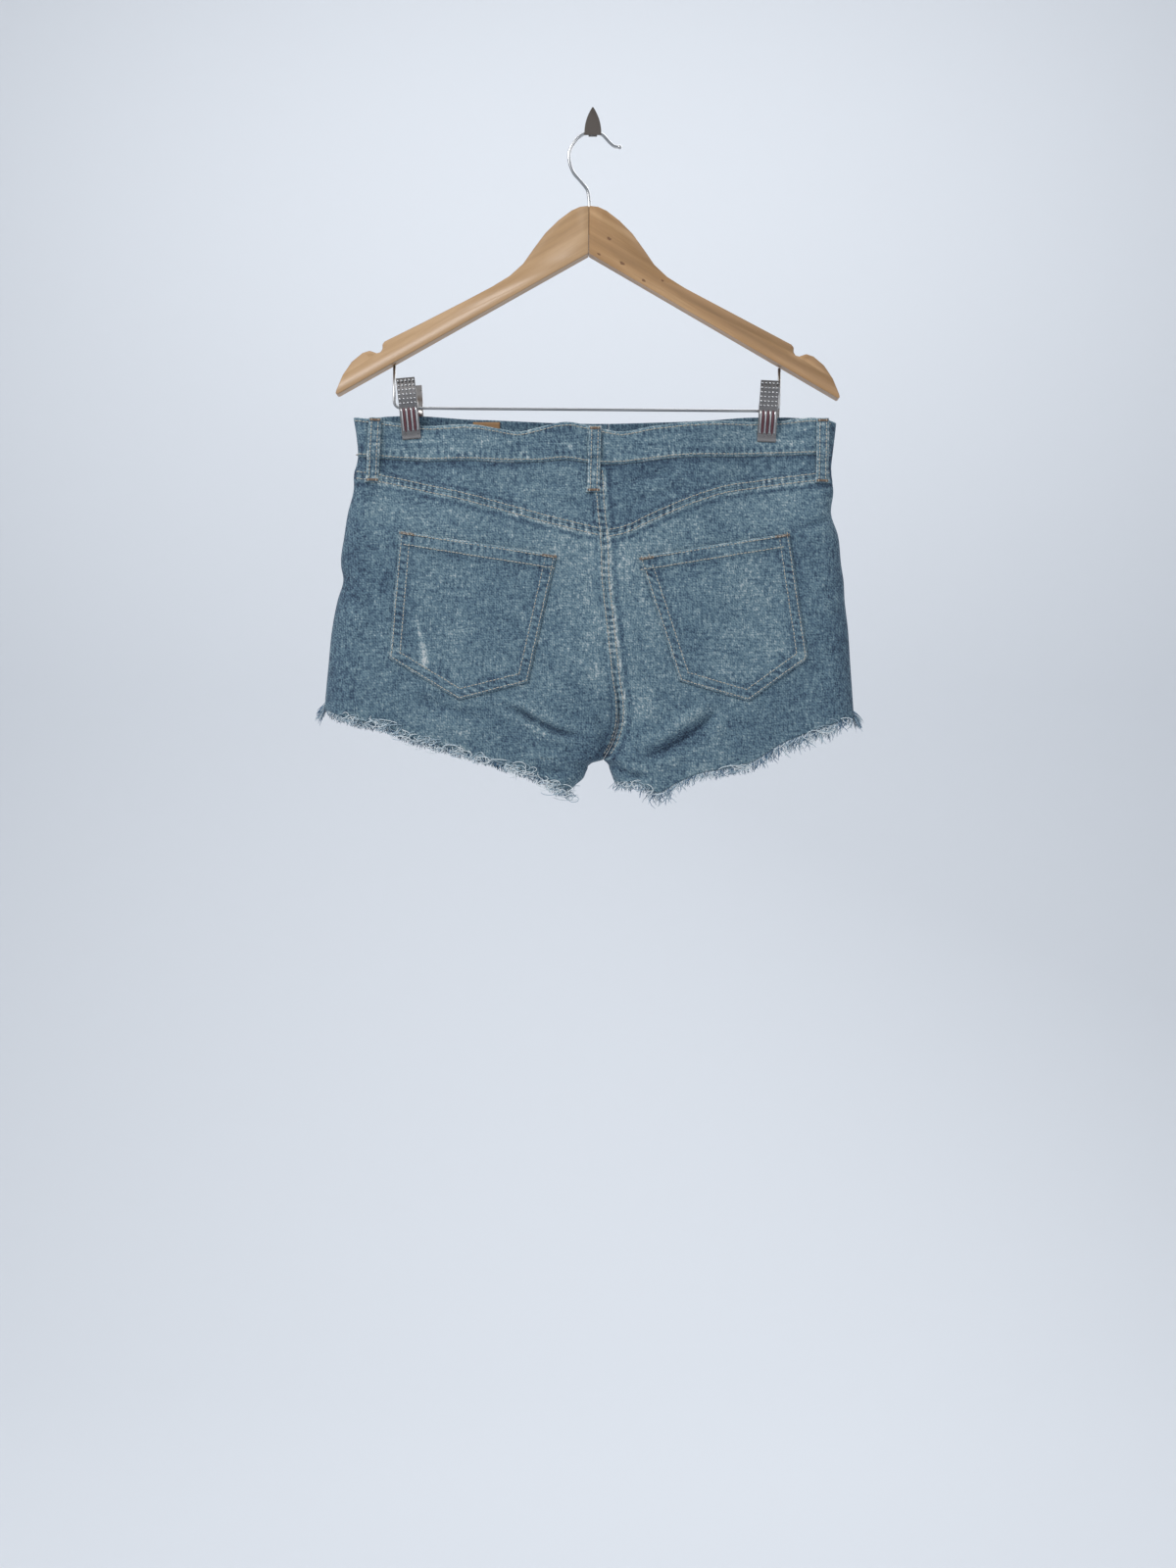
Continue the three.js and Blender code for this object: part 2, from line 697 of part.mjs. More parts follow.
function springGeometry() {
  const { radius, length } = SPRING;
  const bore = BAR.wire + 0.8;
  const half = length / 2;
  const outer = radius - 0.4;
  const ring = [[bore, -half], [outer, -half], [outer, half], [bore, half], [bore, -half]];
  const geometry = new THREE.LatheGeometry(ring.map((p) => new THREE.Vector2(...p)), 16);
  return geometry.rotateZ(Math.PI / 2);
}

function makeClip(side) {
  const { x, lean, frontJawShift } = CLIPS[side];
  const clip = new THREE.Group();
  const tilt = THREE.MathUtils.degToRad(HANGER.tilt);
  const barZ = HANGER.z - BAR.drop + (HANGER.x - x) * Math.sin(tilt);
  clip.position.set(x, HANG_Y, barZ);
  clip.rotation.set(0, THREE.MathUtils.degToRad(lean), 0);
  const back = named(`clip_${side}_back_jaw`, jawGeometry(), steel);
  const front = named(`clip_${side}_front_jaw`, jawGeometry(), steel);
  front.rotation.z = Math.PI;
  front.position.x = frontJawShift;
  clip.add(back, front, named(`clip_${side}_spring`, springGeometry(), steel));
  return clip;
}

// ---------------------------------------------------------------- wall hook
function makeWallHook() {
  const { bottom, sheet, armWidth, lipWidth, lipHeight } = WALL_HOOK;
  const { width, height, thick } = WALL_PLATE;
  const plate = new THREE.BoxGeometry(width, thick, height).translate(0, -thick / 2, 0);
  const trough = HANG_Y;
  const room = HOOK_WIRE + GAP;
  const lipY = trough - room - sheet;
  // Side view of the arm: [y, z], its lower face out to the lip and its upper face back.
  const arm = [[-thick / 2, -4.6], [trough + 6, bottom + 3.4], [trough + 2, bottom], [lipY, bottom],
    [lipY, bottom + 6], [lipY + sheet, bottom + 6], [lipY + sheet, bottom + sheet],
    [trough + room, bottom + sheet], [trough + 5.5, bottom + 5.4], [-thick / 2, -2]];
  const bent = new THREE.ExtrudeGeometry(
    new THREE.Shape(arm.map((p) => new THREE.Vector2(...p))),
    { depth: armWidth, bevelEnabled: false },
  );
  const turned = new THREE.Matrix4();
  turned.set(0, 0, 1, -armWidth / 2, 1, 0, 0, 0, 0, 1, 0, 0, 0, 0, 0, 1);
  bent.applyMatrix4(turned);
  const lip = new THREE.Shape();
  lip.moveTo(-lipWidth / 2, 0);
  lip.lineTo(lipWidth / 2, 0);
  lip.quadraticCurveTo(lipWidth / 2 + 0.4, lipHeight * 0.52, 0.7, lipHeight - 0.5);
  lip.quadraticCurveTo(0, lipHeight + 0.5, -0.7, lipHeight - 0.5);
  lip.quadraticCurveTo(-lipWidth / 2 - 0.4, lipHeight * 0.52, -lipWidth / 2, 0);
  const leaf = new THREE.ExtrudeGeometry(lip, {
    depth: sheet,
    bevelEnabled: false,
    curveSegments: 8,
  });
  leaf.rotateX(Math.PI / 2).translate(0, lipY + sheet, bottom);
  return named("wall_hook", joined(plate, bent, leaf), darkMetal);
}

// ---------------------------------------------------------------- the part
const part = new THREE.Group();
part.add(...makePanels(), ...makeWaistband(), ...makePocketFacings(), ...makeBackPockets());
part.add(...makeBeltLoops(), ...makeFly(), makeButton(), ...makeFray());
part.add(makeHanger(), makeClip("left"), makeClip("right"), makeWallHook());

export default part;
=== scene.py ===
import math

import bmesh
import bpy
import numpy as np
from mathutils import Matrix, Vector


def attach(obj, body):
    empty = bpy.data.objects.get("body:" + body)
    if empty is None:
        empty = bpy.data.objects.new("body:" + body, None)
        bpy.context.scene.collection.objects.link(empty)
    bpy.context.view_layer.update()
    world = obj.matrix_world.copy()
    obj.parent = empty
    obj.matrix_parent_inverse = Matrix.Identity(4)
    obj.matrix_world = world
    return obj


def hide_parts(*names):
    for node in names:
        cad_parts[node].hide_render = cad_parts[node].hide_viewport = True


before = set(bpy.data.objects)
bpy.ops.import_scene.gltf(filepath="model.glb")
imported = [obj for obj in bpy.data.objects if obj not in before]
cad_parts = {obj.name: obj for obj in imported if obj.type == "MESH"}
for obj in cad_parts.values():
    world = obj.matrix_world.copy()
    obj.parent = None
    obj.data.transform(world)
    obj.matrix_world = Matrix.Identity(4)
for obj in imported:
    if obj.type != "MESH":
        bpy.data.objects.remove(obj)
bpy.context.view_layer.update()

rng = np.random.default_rng(41)
MM = 0.001

# Sizes in millimetres; meshes are written in metres. Left and right are as seen from behind.
HALVES = ("left", "right")
OUTWARD = {"back": -1, "front": 1}  # the way along Y that each side of the cloth faces
HANG_Y = -44.0  # the middle plane of the cloth and the hanger
DENIM = 1.3
LEAST_DEPTH = 0.12  # half the gap left where back and front meet
CROTCH_Z = -586.0
PINCH_Z = -480.0  # below this the seat starts to close towards the crotch
SEAM_BAND = 4.8  # half the width of a felled seam
SEAT_SHIFT = 0.8  # from the seat seam's line to the middle of its felled seam
STITCH_ROW = 3.0  # from a felled seam's middle to each of its two rows
STITCH_LENGTH, STITCH_PITCH = 2.7, 3.3
LOOP_WIDTH, LOOP_LENGTH = 11, 57
SCOOP_WIDTH, SCOOP_DEPTH = 92, 62

# The clips hold the waist flat, and it opens again to each side of them and below.
CLIP_X = (-163.2, 155.2)
CLIPPED = 2.6
HELD_WIDTH, HELD_EASE = 10, 42
HELD_TO, HELD_FADE = -318, 75

HANGER = {"x": -3.3, "z": -94.7, "tilt": 0.45}
BAR_DROP = -179.5
BAR_HALF, BAR_SHIFT = 171.2, -0.9


# --- tables
def curve(rows, column=1):
    """A smooth function of a table's first column, through the numbers of another column."""
    rows = sorted(rows)
    xs = np.array([row[0] for row in rows], float)
    ys = np.array([row[column] for row in rows], float)
    slopes = np.gradient(ys, xs)
    fine_x, fine_y = [], []
    for i in range(len(xs) - 1):
        t = np.linspace(0, 1, 24, endpoint=False)
        step = xs[i + 1] - xs[i]
        fine_x.append(xs[i] + t * step)
        fine_y.append(
            (1 + 2 * t) * (1 - t) ** 2 * ys[i]
            + t * (1 - t) ** 2 * step * slopes[i]
            + t * t * (3 - 2 * t) * ys[i + 1]
            + t * t * (t - 1) * step * slopes[i + 1]
        )
    fine_x = np.append(np.concatenate(fine_x), xs[-1])
    fine_y = np.append(np.concatenate(fine_y), ys[-1])
    return lambda at: np.interp(at, fine_x, fine_y)


# z, left, right: the garment's side folds as seen from behind
SIDES = [(-281, -213, 217), (-300, -210, 215), (-317, -209, 213), (-331, -212, 212),
         (-347, -213, 214), (-367, -218, 212), (-386, -221, 218), (-413, -224, 221),
         (-426, -222, 223), (-444, -227, 224), (-470, -232, 227), (-500, -235, 229),
         (-545, -239, 232), (-620, -242, 235)]
side_left = curve(SIDES, 1)
side_right = curve(SIDES, 2)
seat_seam = curve([(-281, 4), (-353, 5.6), (-400, 9.6), (-423, 10.2), (-470, 15), (-516, 20),
                   (-539, 23), (-556, 22), (-572, 17), (-586, 9)])
LEG_INNER = [(-586, 9, 9), (-588, 1, 12), (-595, -5, 15), (-603, -9, 18), (-608, -15, 20),
             (-614, -21, 22)]
leg_inner = {"left": curve(LEG_INNER, 1), "right": curve(LEG_INNER, 2)}
# x, top, seam
BACK_WAIST = [(-213, -282, -317), (-187, -285, -319), (-152, -289, -321), (-100, -290, -322),
              (-83, -293, -323), (-65, -295.5, -323), (-49, -292, -323), (-24, -287, -321),
              (4, -292, -325), (24, -295.5, -325), (51, -291, -322), (75, -288, -319),
              (112, -286, -318), (164, -285, -316), (198, -283, -316), (217, -287, -317)]
FRONT_WAIST = [(-213, -282, -317), (-180, -280, -317), (-100, -282, -319), (0, -285.5, -322),
               (70, -284, -320), (150, -281, -317), (200, -283, -316), (217, -287, -317)]
waist_top = {"back": curve(BACK_WAIST, 1), "front": curve(FRONT_WAIST, 1)}
waist_seam = {"back": curve(BACK_WAIST, 2), "front": curve(FRONT_WAIST, 2)}
yoke_seam = curve([(-213, -333), (-186, -337), (-140, -347), (-93, -359), (-47, -372),
                   (-3, -383), (12, -386), (29, -383), (48, -374), (92, -355), (117, -347),
                   (150, -341), (213, -334)])
hem = {
    "left": curve([(-240, -540), (-221, -548), (-182, -557), (-162, -566), (-132, -574),
                   (-90, -587), (-61, -596), (-46, -601), (-29, -610), (-19, -613)]),
    "right": curve([(20, -606), (43, -608), (55, -615), (75, -606), (91, -599), (121, -593),
                    (140, -588), (166, -572), (197, -560), (233, -547)]),
}
FRONT_HEM_DROP = {"left": -2.5, "right": 2.5}
# z, back, front, side fold's radius, inner fold's radius
DEPTH = [(-281, 9, 8, 12, 20), (-317, 9.6, 8.6, 13, 20), (-345, 12, 10, 16, 22),
         (-385, 15.5, 12, 20, 26), (-430, 18, 13.5, 24, 30), (-480, 19, 14, 26, 34),
         (-530, 18.5, 13.5, 24, 34), (-570, 16, 12.5, 20, 28), (-620, 14, 12, 18, 16)]
depth = {"back": curve(DEPTH, 1), "front": curve(DEPTH, 2)}
fold_radius = curve(DEPTH, 3)
inner_fold = curve(DEPTH, 4)

# The creases of each side: a line of points (x, z), half width, and depth of the trough
CREASES = {
    "back": [
        ([(114, -538), (100, -552), (84, -564), (64, -577), (36, -588)], 5.5, 4.2),
        ([(108, -556), (92, -570), (70, -584)], 9, 2.6),
        ([(12, -588), (31, -599), (52, -603)], 3.5, 2.6),
        ([(-84, -537), (-62, -545), (-51, -552), (-30, -562), (-3, -568)], 3.2, 4.2),
        ([(2, -546), (8, -556), (14, -566)], 4, 2.0),
        ([(-156, -527), (-143, -536), (-108, -547), (-90, -555)], 7, 1.8),
        ([(-62, -592), (-40, -597), (-18, -598)], 6, 2.2),
        ([(-66, -332), (-40, -341), (-14, -346)], 6, 1.5),
        ([(-60, -350), (-30, -357), (-6, -362)], 5, 1.2),
        ([(20, -342), (48, -336), (74, -331)], 7, 1.5),
        ([(30, -358), (58, -351), (90, -342)], 5, 1.1),
        ([(-204, -352), (-180, -356), (-150, -362)], 5, 1.2),
        ([(-222, -430), (-206, -445), (-190, -452)], 6, 1.3),
        ([(214, -372), (200, -377), (184, -380)], 4, 1.5),
        ([(221, -430), (206, -438), (196, -440)], 5, 1.2),
        ([(-20, -470), (0, -490), (12, -505)], 8, 1.2),
        ([(34, -500), (52, -520), (74, -540)], 8, 1.3),
    ],
    "front": [
        ([(10, -560), (60, -530), (110, -520)], 7, 2.4),
        ([(4, -540), (50, -500), (92, -480)], 6, 1.8),
        ([(10, -555), (-40, -535), (-100, -528)], 7, 2.4),
        ([(0, -530), (-44, -502), (-96, -492)], 6, 1.6),
        ([(-200, -470), (-170, -476), (-130, -470)], 6, 1.5),
        ([(205, -480), (176, -490), (140, -486)], 6, 1.5),
    ],
}

# Corners (x, z) of the five-sided back pockets
POCKETS = {
    "left": {"top": [(-170, -384.5), (-32, -406)],
             "bottom": [(-179, -497), (-118, -533.5), (-57, -518)]},
    "right": {"top": [(40.5, -407.5), (173, -386.5)],
              "bottom": [(76.5, -517), (137, -534.5), (189, -497)]},
}


# --- the cloth's form
def ease(t):
    t = np.clip(t, 0, 1)
    return t * t * (3 - 2 * t)


def gauss(d, width):
    return np.exp(-((d / width) ** 2))


def full_turn(count):
    return np.linspace(0, 2 * np.pi, count, endpoint=False)


def arc(distance, radius):
    """Height of a round edge, from 0 at its end to 1 at its radius."""
    return np.sqrt(1 - (1 - np.clip(distance / radius, 0, 1)) ** 2)


def inner_edge(z, half):
    return np.where(z >= CROTCH_Z, seat_seam(z), leg_inner[half](z))


_lattice = rng.random((64, 64))


def noise(a, b, size, shift=0.0):
    """Smooth random value from -1 to 1 over a plane, in lumps of about the given size."""
    a = np.asarray(a) / size + 17.3 * shift
    b = np.asarray(b) / size + 9.1 * shift
    ia, ib = np.floor(a).astype(int), np.floor(b).astype(int)
    fa, fb = ease(a - ia), ease(b - ib)
    at = lambda i, j: _lattice[i % 64, j % 64]
    low = at(ia, ib) * (1 - fa) + at(ia + 1, ib) * fa
    high = at(ia, ib + 1) * (1 - fa) + at(ia + 1, ib + 1) * fa
    return 2 * (low * (1 - fb) + high * fb) - 1


def to_line(x, z, line):
    """Distance to a line of points, and the share of its length reached."""
    nearest = np.full(np.shape(x), 1e9)
    share = np.zeros(np.shape(x))
    spans = len(line) - 1
    for i, ((ax, az), (bx, bz)) in enumerate(zip(line, line[1:])):
        dx, dz = bx - ax, bz - az
        t = np.clip(((x - ax) * dx + (z - az) * dz) / (dx * dx + dz * dz), 0, 1)
        away = np.hypot(x - ax - t * dx, z - az - t * dz)
        share = np.where(away < nearest, (i + t) / spans, share)
        nearest = np.minimum(away, nearest)
    return nearest, share


def crease(x, z, side):
    """Relief of the creases: a trough with a soft ridge on each side."""
    total = np.zeros(np.shape(x))
    for line, width, deep in CREASES[side]:
        away, share = to_line(x, z, line)
        fade = ease(np.minimum(share, 1 - share) * 3.5)
        sharp = np.exp(-away / (0.42 * width))
        total += deep * fade * (0.4 * gauss(away - 2 * width, 1.2 * width) - 0.65 * sharp)
        total -= 0.4 * deep * fade * gauss(away, width)
    return total


def rope_of(x, z, along, shift, pitch=5.8):
    """Puckers along a seam: uneven dark and light bars, from -1 to 1."""
    bars = np.sin(2 * np.pi * along / pitch + 2.4 * noise(x, z, 15, shift))
    return np.clip(1.4 * bars, -1, 1) * (0.65 + 0.45 * noise(x, z, 11, shift + 5))


def seam_relief(x, z, side):
    """Raised felled seams, and the puckers that washing leaves in them."""
    to_seat = np.abs(x - seat_seam(z) - SEAT_SHIFT)
    raised = (1 - ease((to_seat - SEAM_BAND) / 1.6)) * (z > CROTCH_Z)
    puckers = rope_of(x, z, z, 0) * raised
    if side == "back":
        to_yoke = np.abs(z - yoke_seam(x))
        yoke_raised = 1 - ease((to_yoke - SEAM_BAND) / 1.6)
        puckers = puckers + rope_of(x, z, x, 2) * yoke_raised
        raised = np.maximum(raised, yoke_raised)
    near_band = np.exp(-np.maximum(waist_seam[side](x) - z, 0) / 5)
    puckers = puckers + 0.9 * near_band * rope_of(x, z, x, 3)
    return 0.75 * raised + 0.22 * puckers


def half_depth(x, z, side, half, inset=0.0):
    """Distance from the middle plane to the cloth's outer face, or to a face set in from it."""
    left, right = side_left(z), side_right(z)
    to_side = x - left if half == "left" else right - x
    edge = inner_edge(z, half)
    to_inner = np.maximum(edge - x if half == "left" else x - edge, 0)
    near = np.minimum(np.abs(x - CLIP_X[0]), np.abs(x - CLIP_X[1]))
    held = (1 - ease((near - HELD_WIDTH) / HELD_EASE)) * (1 - ease((HELD_TO - z) / HELD_FADE))
    arch = 0.78 + 0.22 * np.sin(np.pi * np.clip((x - left) / (right - left), 0, 1))
    h = depth[side](z) * arch * (1 - held) + CLIPPED * held
    free = 1 - held
    h = h + free * (crease(x, z, side) + 0.9 * noise(x, z, 55) + 0.4 * noise(x, z, 21, 1))
    above = z >= CROTCH_Z
    inner = inner_fold(z)
    pinch = ease((PINCH_Z - z) / (PINCH_Z - CROTCH_Z)) ** 1.5
    pinched = np.maximum(h * (1 - pinch * (1 - arc(to_inner, inner))), DENIM + 1)
    h = np.where(above, pinched, h)
    h = (h - inset) * arc(to_side - inset, np.maximum(fold_radius(z) - inset, 1))
    return np.where(above, h, h * arc(to_inner - inset, np.maximum(inner - inset, 1)))


def surface(x, out, z, side):
    """Points on one side of the cloth, at a distance out from the middle plane, in metres."""
    return np.stack([x, HANG_Y + OUTWARD[side] * out, z], -1) * MM


def place(x, z, side, half, *lifts):
    """The cloth's outer face, moved out by each of the lifts."""
    relief = seam_relief(x, z, side)
    outs = [np.maximum(half_depth(x, z, side, half, -lift - relief), LEAST_DEPTH) for lift in lifts]
    return [surface(x, out, z, side) for out in outs]


# --- meshes
def finished(obj, material, slot, *nodes):
    obj.data.materials.clear()
    obj.data.materials.append(material)
    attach(obj, "root")
    if nodes:
        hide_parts(*nodes)
    return obj


def mesh_object(name, vertices, faces, smooth=True):
    mesh = bpy.data.meshes.new(name)
    mesh.vertices.add(len(vertices))
    mesh.vertices.foreach_set("co", np.asarray(vertices, np.float32).ravel())
    sizes = np.array([len(face) for face in faces])
    corners = np.concatenate([np.asarray(face, np.int32) for face in faces])
    starts = np.concatenate([[0], np.cumsum(sizes)[:-1]]).astype(np.int32)
    mesh.loops.add(len(corners))
    mesh.loops.foreach_set("vertex_index", corners)
    mesh.polygons.add(len(sizes))
    mesh.polygons.foreach_set("loop_start", starts)
    mesh.update(calc_edges=True)
    mesh.polygons.foreach_set("use_smooth", np.full(len(sizes), smooth))
    obj = bpy.data.objects.new(name, mesh)
    bpy.context.scene.collection.objects.link(obj)
    return obj


def outward(obj):
    """Turns every face of a closed mesh to the outside."""
    work = bmesh.new()
    work.from_mesh(obj.data)
    bmesh.ops.recalc_face_normals(work, faces=work.faces)
    work.to_mesh(obj.data)
    work.free()
    return obj


def grid(columns, rows, first=0.0, last=1.0):
    """Columns from first to last and rows from 0 to 1, as two arrays of one shape."""
    return np.meshgrid(np.linspace(first, last, columns), np.linspace(0, 1, rows))


def shell(name, outer, inner, tone, shaded_inner_tone=0.5):
    """A closed sheet between two grids of points, with a tone for each point; the inner face gets one
    tone, held below the pale back of the denim as painted shade.
    """
    rows, columns = outer.shape[:2]
    count = rows * columns
    face = np.arange(count).reshape(rows, columns)
    under = face + count
    ring = np.concatenate([face[0, :-1], face[:-1, -1], face[-1, :0:-1], face[:0:-1, 0]])
    after = np.roll(ring, -1)
    quads = [
        np.stack([face[:-1, :-1], face[:-1, 1:], face[1:, 1:], face[1:, :-1]], -1).reshape(-1, 4),
        np.stack([under[:-1, :-1], under[1:, :-1], under[1:, 1:], under[:-1, 1:]], -1).reshape(-1, 4),
        np.stack([after, ring, ring + count, after + count], -1),
    ]
    points = np.concatenate([outer.reshape(-1, 3), inner.reshape(-1, 3)])
    obj = outward(mesh_object(name, points, np.concatenate(quads)))
    values = np.concatenate([tone.ravel(), np.full(count, shaded_inner_tone)]).astype(np.float32)
    obj.data.attributes.new("tone", "FLOAT", "POINT").data.foreach_set("value", values)
    return obj


def tube_faces(first, rings, sides):
    """Faces of a capped tube, whose points run ring by ring from the first."""
    index = first + np.arange(rings * sides).reshape(rings, sides)
    after = np.roll(index, -1, axis=1)
    quads = np.stack([index[:-1], after[:-1], after[1:], index[1:]], -1).reshape(-1, 4)
    return quads.tolist() + [index[0][::-1].tolist(), index[-1].tolist()]


def threads(name, strands, radius, sides=4, taper=True):
    """Thin tubes along lines of points (metres), joined in one mesh."""
    vertices, faces, first = [], [], 0
    turn = full_turn(sides)[None, :, None]
    for line in strands:
        line = np.asarray(line)
        along = np.gradient(line, axis=0)
        along /= np.linalg.norm(along, axis=1, keepdims=True) + 1e-12
        up = np.cross(along, [0.23, 0.95, 0.19])
        up /= np.linalg.norm(up, axis=1, keepdims=True) + 1e-12
        other = np.cross(along, up)
        size = np.full((len(line), 1, 1), radius)
        if taper:
            size[[0, -1]] *= 0.55
        ring = np.cos(turn) * up[:, None] + np.sin(turn) * other[:, None]
        vertices.append((line[:, None] + ring * size).reshape(-1, 3))
        faces += tube_faces(first, len(line), sides)
        first += len(line) * sides
    return mesh_object(name, np.concatenate(vertices), faces)


# --- materials
def material(name, colour, roughness, metallic=0.0):
    made = bpy.data.materials.new(name)
    made.use_nodes = True
    shader = made.node_tree.nodes["Principled BSDF"]
    shader.inputs["Base Color"].default_value = (*colour, 1)
    shader.inputs["Roughness"].default_value = roughness
    shader.inputs["Metallic"].default_value = metallic
    return made, made.node_tree, shader


def add(tree, kind, **settings):
    node = tree.nodes.new(kind)
    for key, value in settings.items():
        if key in node.inputs:
            node.inputs[key].default_value = value
        else:
            setattr(node, key, value)
    return node


def ramp(tree, stops, source):
    node = tree.nodes.new("ShaderNodeValToRGB")
    elements = node.color_ramp.elements
    while len(elements) < len(stops):
        elements.new(0.5)
    for element, (at, colour) in zip(elements, stops):
        element.position = at
        element.color = (*colour, 1)
    tree.links.new(source, node.inputs["Fac"])
    return node.outputs["Color"]


def maths(tree, operation, a, b):
    node = tree.nodes.new("ShaderNodeMath")
    node.operation = operation
    for socket, value in zip(node.inputs, (a, b)):
        if isinstance(value, (int, float)):
            socket.default_value = value
        else:
            tree.links.new(value, socket)
    return node.outputs[0]


def swing(tree, source, strength):
    """A pattern from 0 to 1 turned into one about 0, times a strength."""
    return maths(tree, "MULTIPLY", maths(tree, "SUBTRACT", source, 0.5), strength)


def put_bump(tree, shader, height, strength, distance):
    bump = add(tree, "ShaderNodeBump", Strength=strength, Distance=distance)
    tree.links.new(height, bump.inputs["Height"])
    tree.links.new(bump.outputs["Normal"], shader.inputs["Normal"])


def object_coords(tree, **settings):
    """Places on the object, scaled or turned by the settings."""
    source = tree.nodes.new("ShaderNodeTexCoord").outputs["Object"]
    mapping = add(tree, "ShaderNodeMapping", **settings)
    tree.links.new(source, mapping.inputs["Vector"])
    return mapping.outputs["Vector"]


DENIM_STOPS = [
    (0.0, (0.012, 0.022, 0.045)),
    (0.28, (0.042, 0.078, 0.125)),
    (0.5, (0.1, 0.17, 0.222)),
    (0.72, (0.195, 0.285, 0.325)),
    (1.0, (0.56, 0.6, 0.6)),
]


def noise_at(tree, coords, scale, stretch=(1, 1, 1), detail=3):
    mapping = add(tree, "ShaderNodeMapping", Scale=stretch)
    tree.links.new(coords, mapping.inputs["Vector"])
    node = add(tree, "ShaderNodeTexNoise", Scale=scale, Detail=detail)
    tree.links.new(mapping.outputs["Vector"], node.inputs["Vector"])
    return node.outputs["Fac"]


def make_denim():
    """Washed twill: the tone of each point, slubs, mottling, and diagonal ribs."""
    made, tree, shader = material("washed denim", (0.12, 0.2, 0.3), 0.88)
    coords = object_coords(tree)
    down = noise_at(tree, coords, 950, (1, 1, 0.22))
    across = noise_at(tree, coords, 800, (0.25, 1, 1))
    mottle = noise_at(tree, coords, 60, detail=5)
    twill = add(tree, "ShaderNodeTexWave", bands_direction="DIAGONAL", Scale=210, Distortion=1.5)
    tree.links.new(object_coords(tree, Scale=(1, 0, 1)), twill.inputs["Vector"])
    rib = twill.outputs["Fac"]
    total = add(tree, "ShaderNodeAttribute", attribute_name="tone").outputs["Fac"]
    for source, strength in ((down, 1.05), (across, 0.9), (mottle, 0.2), (rib, 0.1)):
        total = maths(tree, "ADD", total, swing(tree, source, strength))
    tree.links.new(ramp(tree, DENIM_STOPS, total), shader.inputs["Base Color"])
    put_bump(tree, shader, maths(tree, "ADD", rib, maths(tree, "MULTIPLY", down, 1.2)), 0.45, 0.0004)
    shader.inputs["Sheen Weight"].default_value = 0.12
    shader.inputs["Sheen Roughness"].default_value = 0.6
    shader.inputs["Specular IOR Level"].default_value = 0.2
    return made


def make_wood(name, pale, brown, tilt):
    """Satin beech with long grain that follows the arm, flecks and a few darker bands."""
    made, tree, shader = material(name, brown, 0.42)
    along = object_coords(tree, Rotation=(0, math.radians(tilt), 0))
    grain = noise_at(tree, along, 55, (0.09, 1, 2.0), 5)
    fleck = noise_at(tree, along, 900, (0.05, 1, 1), 2)
    mixed = maths(tree, "ADD", grain, swing(tree, fleck, 0.22))
    dark = tuple(0.8 * c for c in brown)
    stops = [(0.3, dark), (0.5, brown), (0.7, pale)]
    tree.links.new(ramp(tree, stops, mixed), shader.inputs["Base Color"])
    put_bump(tree, shader, fleck, 0.12, 0.0003)
    shader.inputs["Coat Weight"].default_value = 0.25
    shader.inputs["Coat Roughness"].default_value = 0.3
    return made


def make_metal(name, colour, roughness, metallic=1.0):
    """Metal whose gloss varies a little, as handling leaves it."""
    made, tree, shader = material(name, colour, roughness, metallic)
    smudge = noise_at(tree, object_coords(tree), 150, detail=4)
    rough = maths(tree, "ADD", maths(tree, "MULTIPLY", smudge, 0.16), roughness - 0.06)
    tree.links.new(rough, shader.inputs["Roughness"])
    return made


DENIM_CLOTH = make_denim()
THREAD = material("pale sewing thread", (0.5, 0.47, 0.4), 0.75)[0]
TACK = material("rust sewing thread", (0.3, 0.185, 0.11), 0.75)[0]
FRAY = material("frayed cotton", (0.38, 0.49, 0.56), 0.9)[0]
FRAY_BLUE = material("blue frayed cotton", (0.08, 0.16, 0.26), 0.9)[0]
FRAY_PALE = material("pale frayed cotton", (0.72, 0.78, 0.8), 0.9)[0]
LABEL = material("tan label", (0.3, 0.17, 0.08), 0.8)[0]
GLUE = material("dark glue line", (0.06, 0.035, 0.02), 0.8)[0]
KNOT = material("knots", (0.2, 0.1, 0.045), 0.6)[0]
CHROME = make_metal("bright plate", (0.6, 0.6, 0.6), 0.22)
JAW_PLATE = make_metal("stamped plate", (0.33, 0.31, 0.3), 0.28)
# Painted shade and reflection for the grooves between the clips' ribs.
GROOVE_SHADE = material("painted groove shade", (0.13, 0.045, 0.055), 0.35)[0]
BAR_STEEL = make_metal("bar steel", (0.5, 0.5, 0.5), 0.3)
DULL = make_metal("dull metal", (0.42, 0.38, 0.32), 0.4)
HOOK_PAINT = make_metal("dark hook paint", (0.095, 0.078, 0.066), 0.55, 0.1)
WOOD = {
    "left": make_wood("pale beech", (0.52, 0.335, 0.18), (0.44, 0.27, 0.135), 31),
    "right": make_wood("brown beech", (0.57, 0.35, 0.175), (0.44, 0.25, 0.112), -31),
}
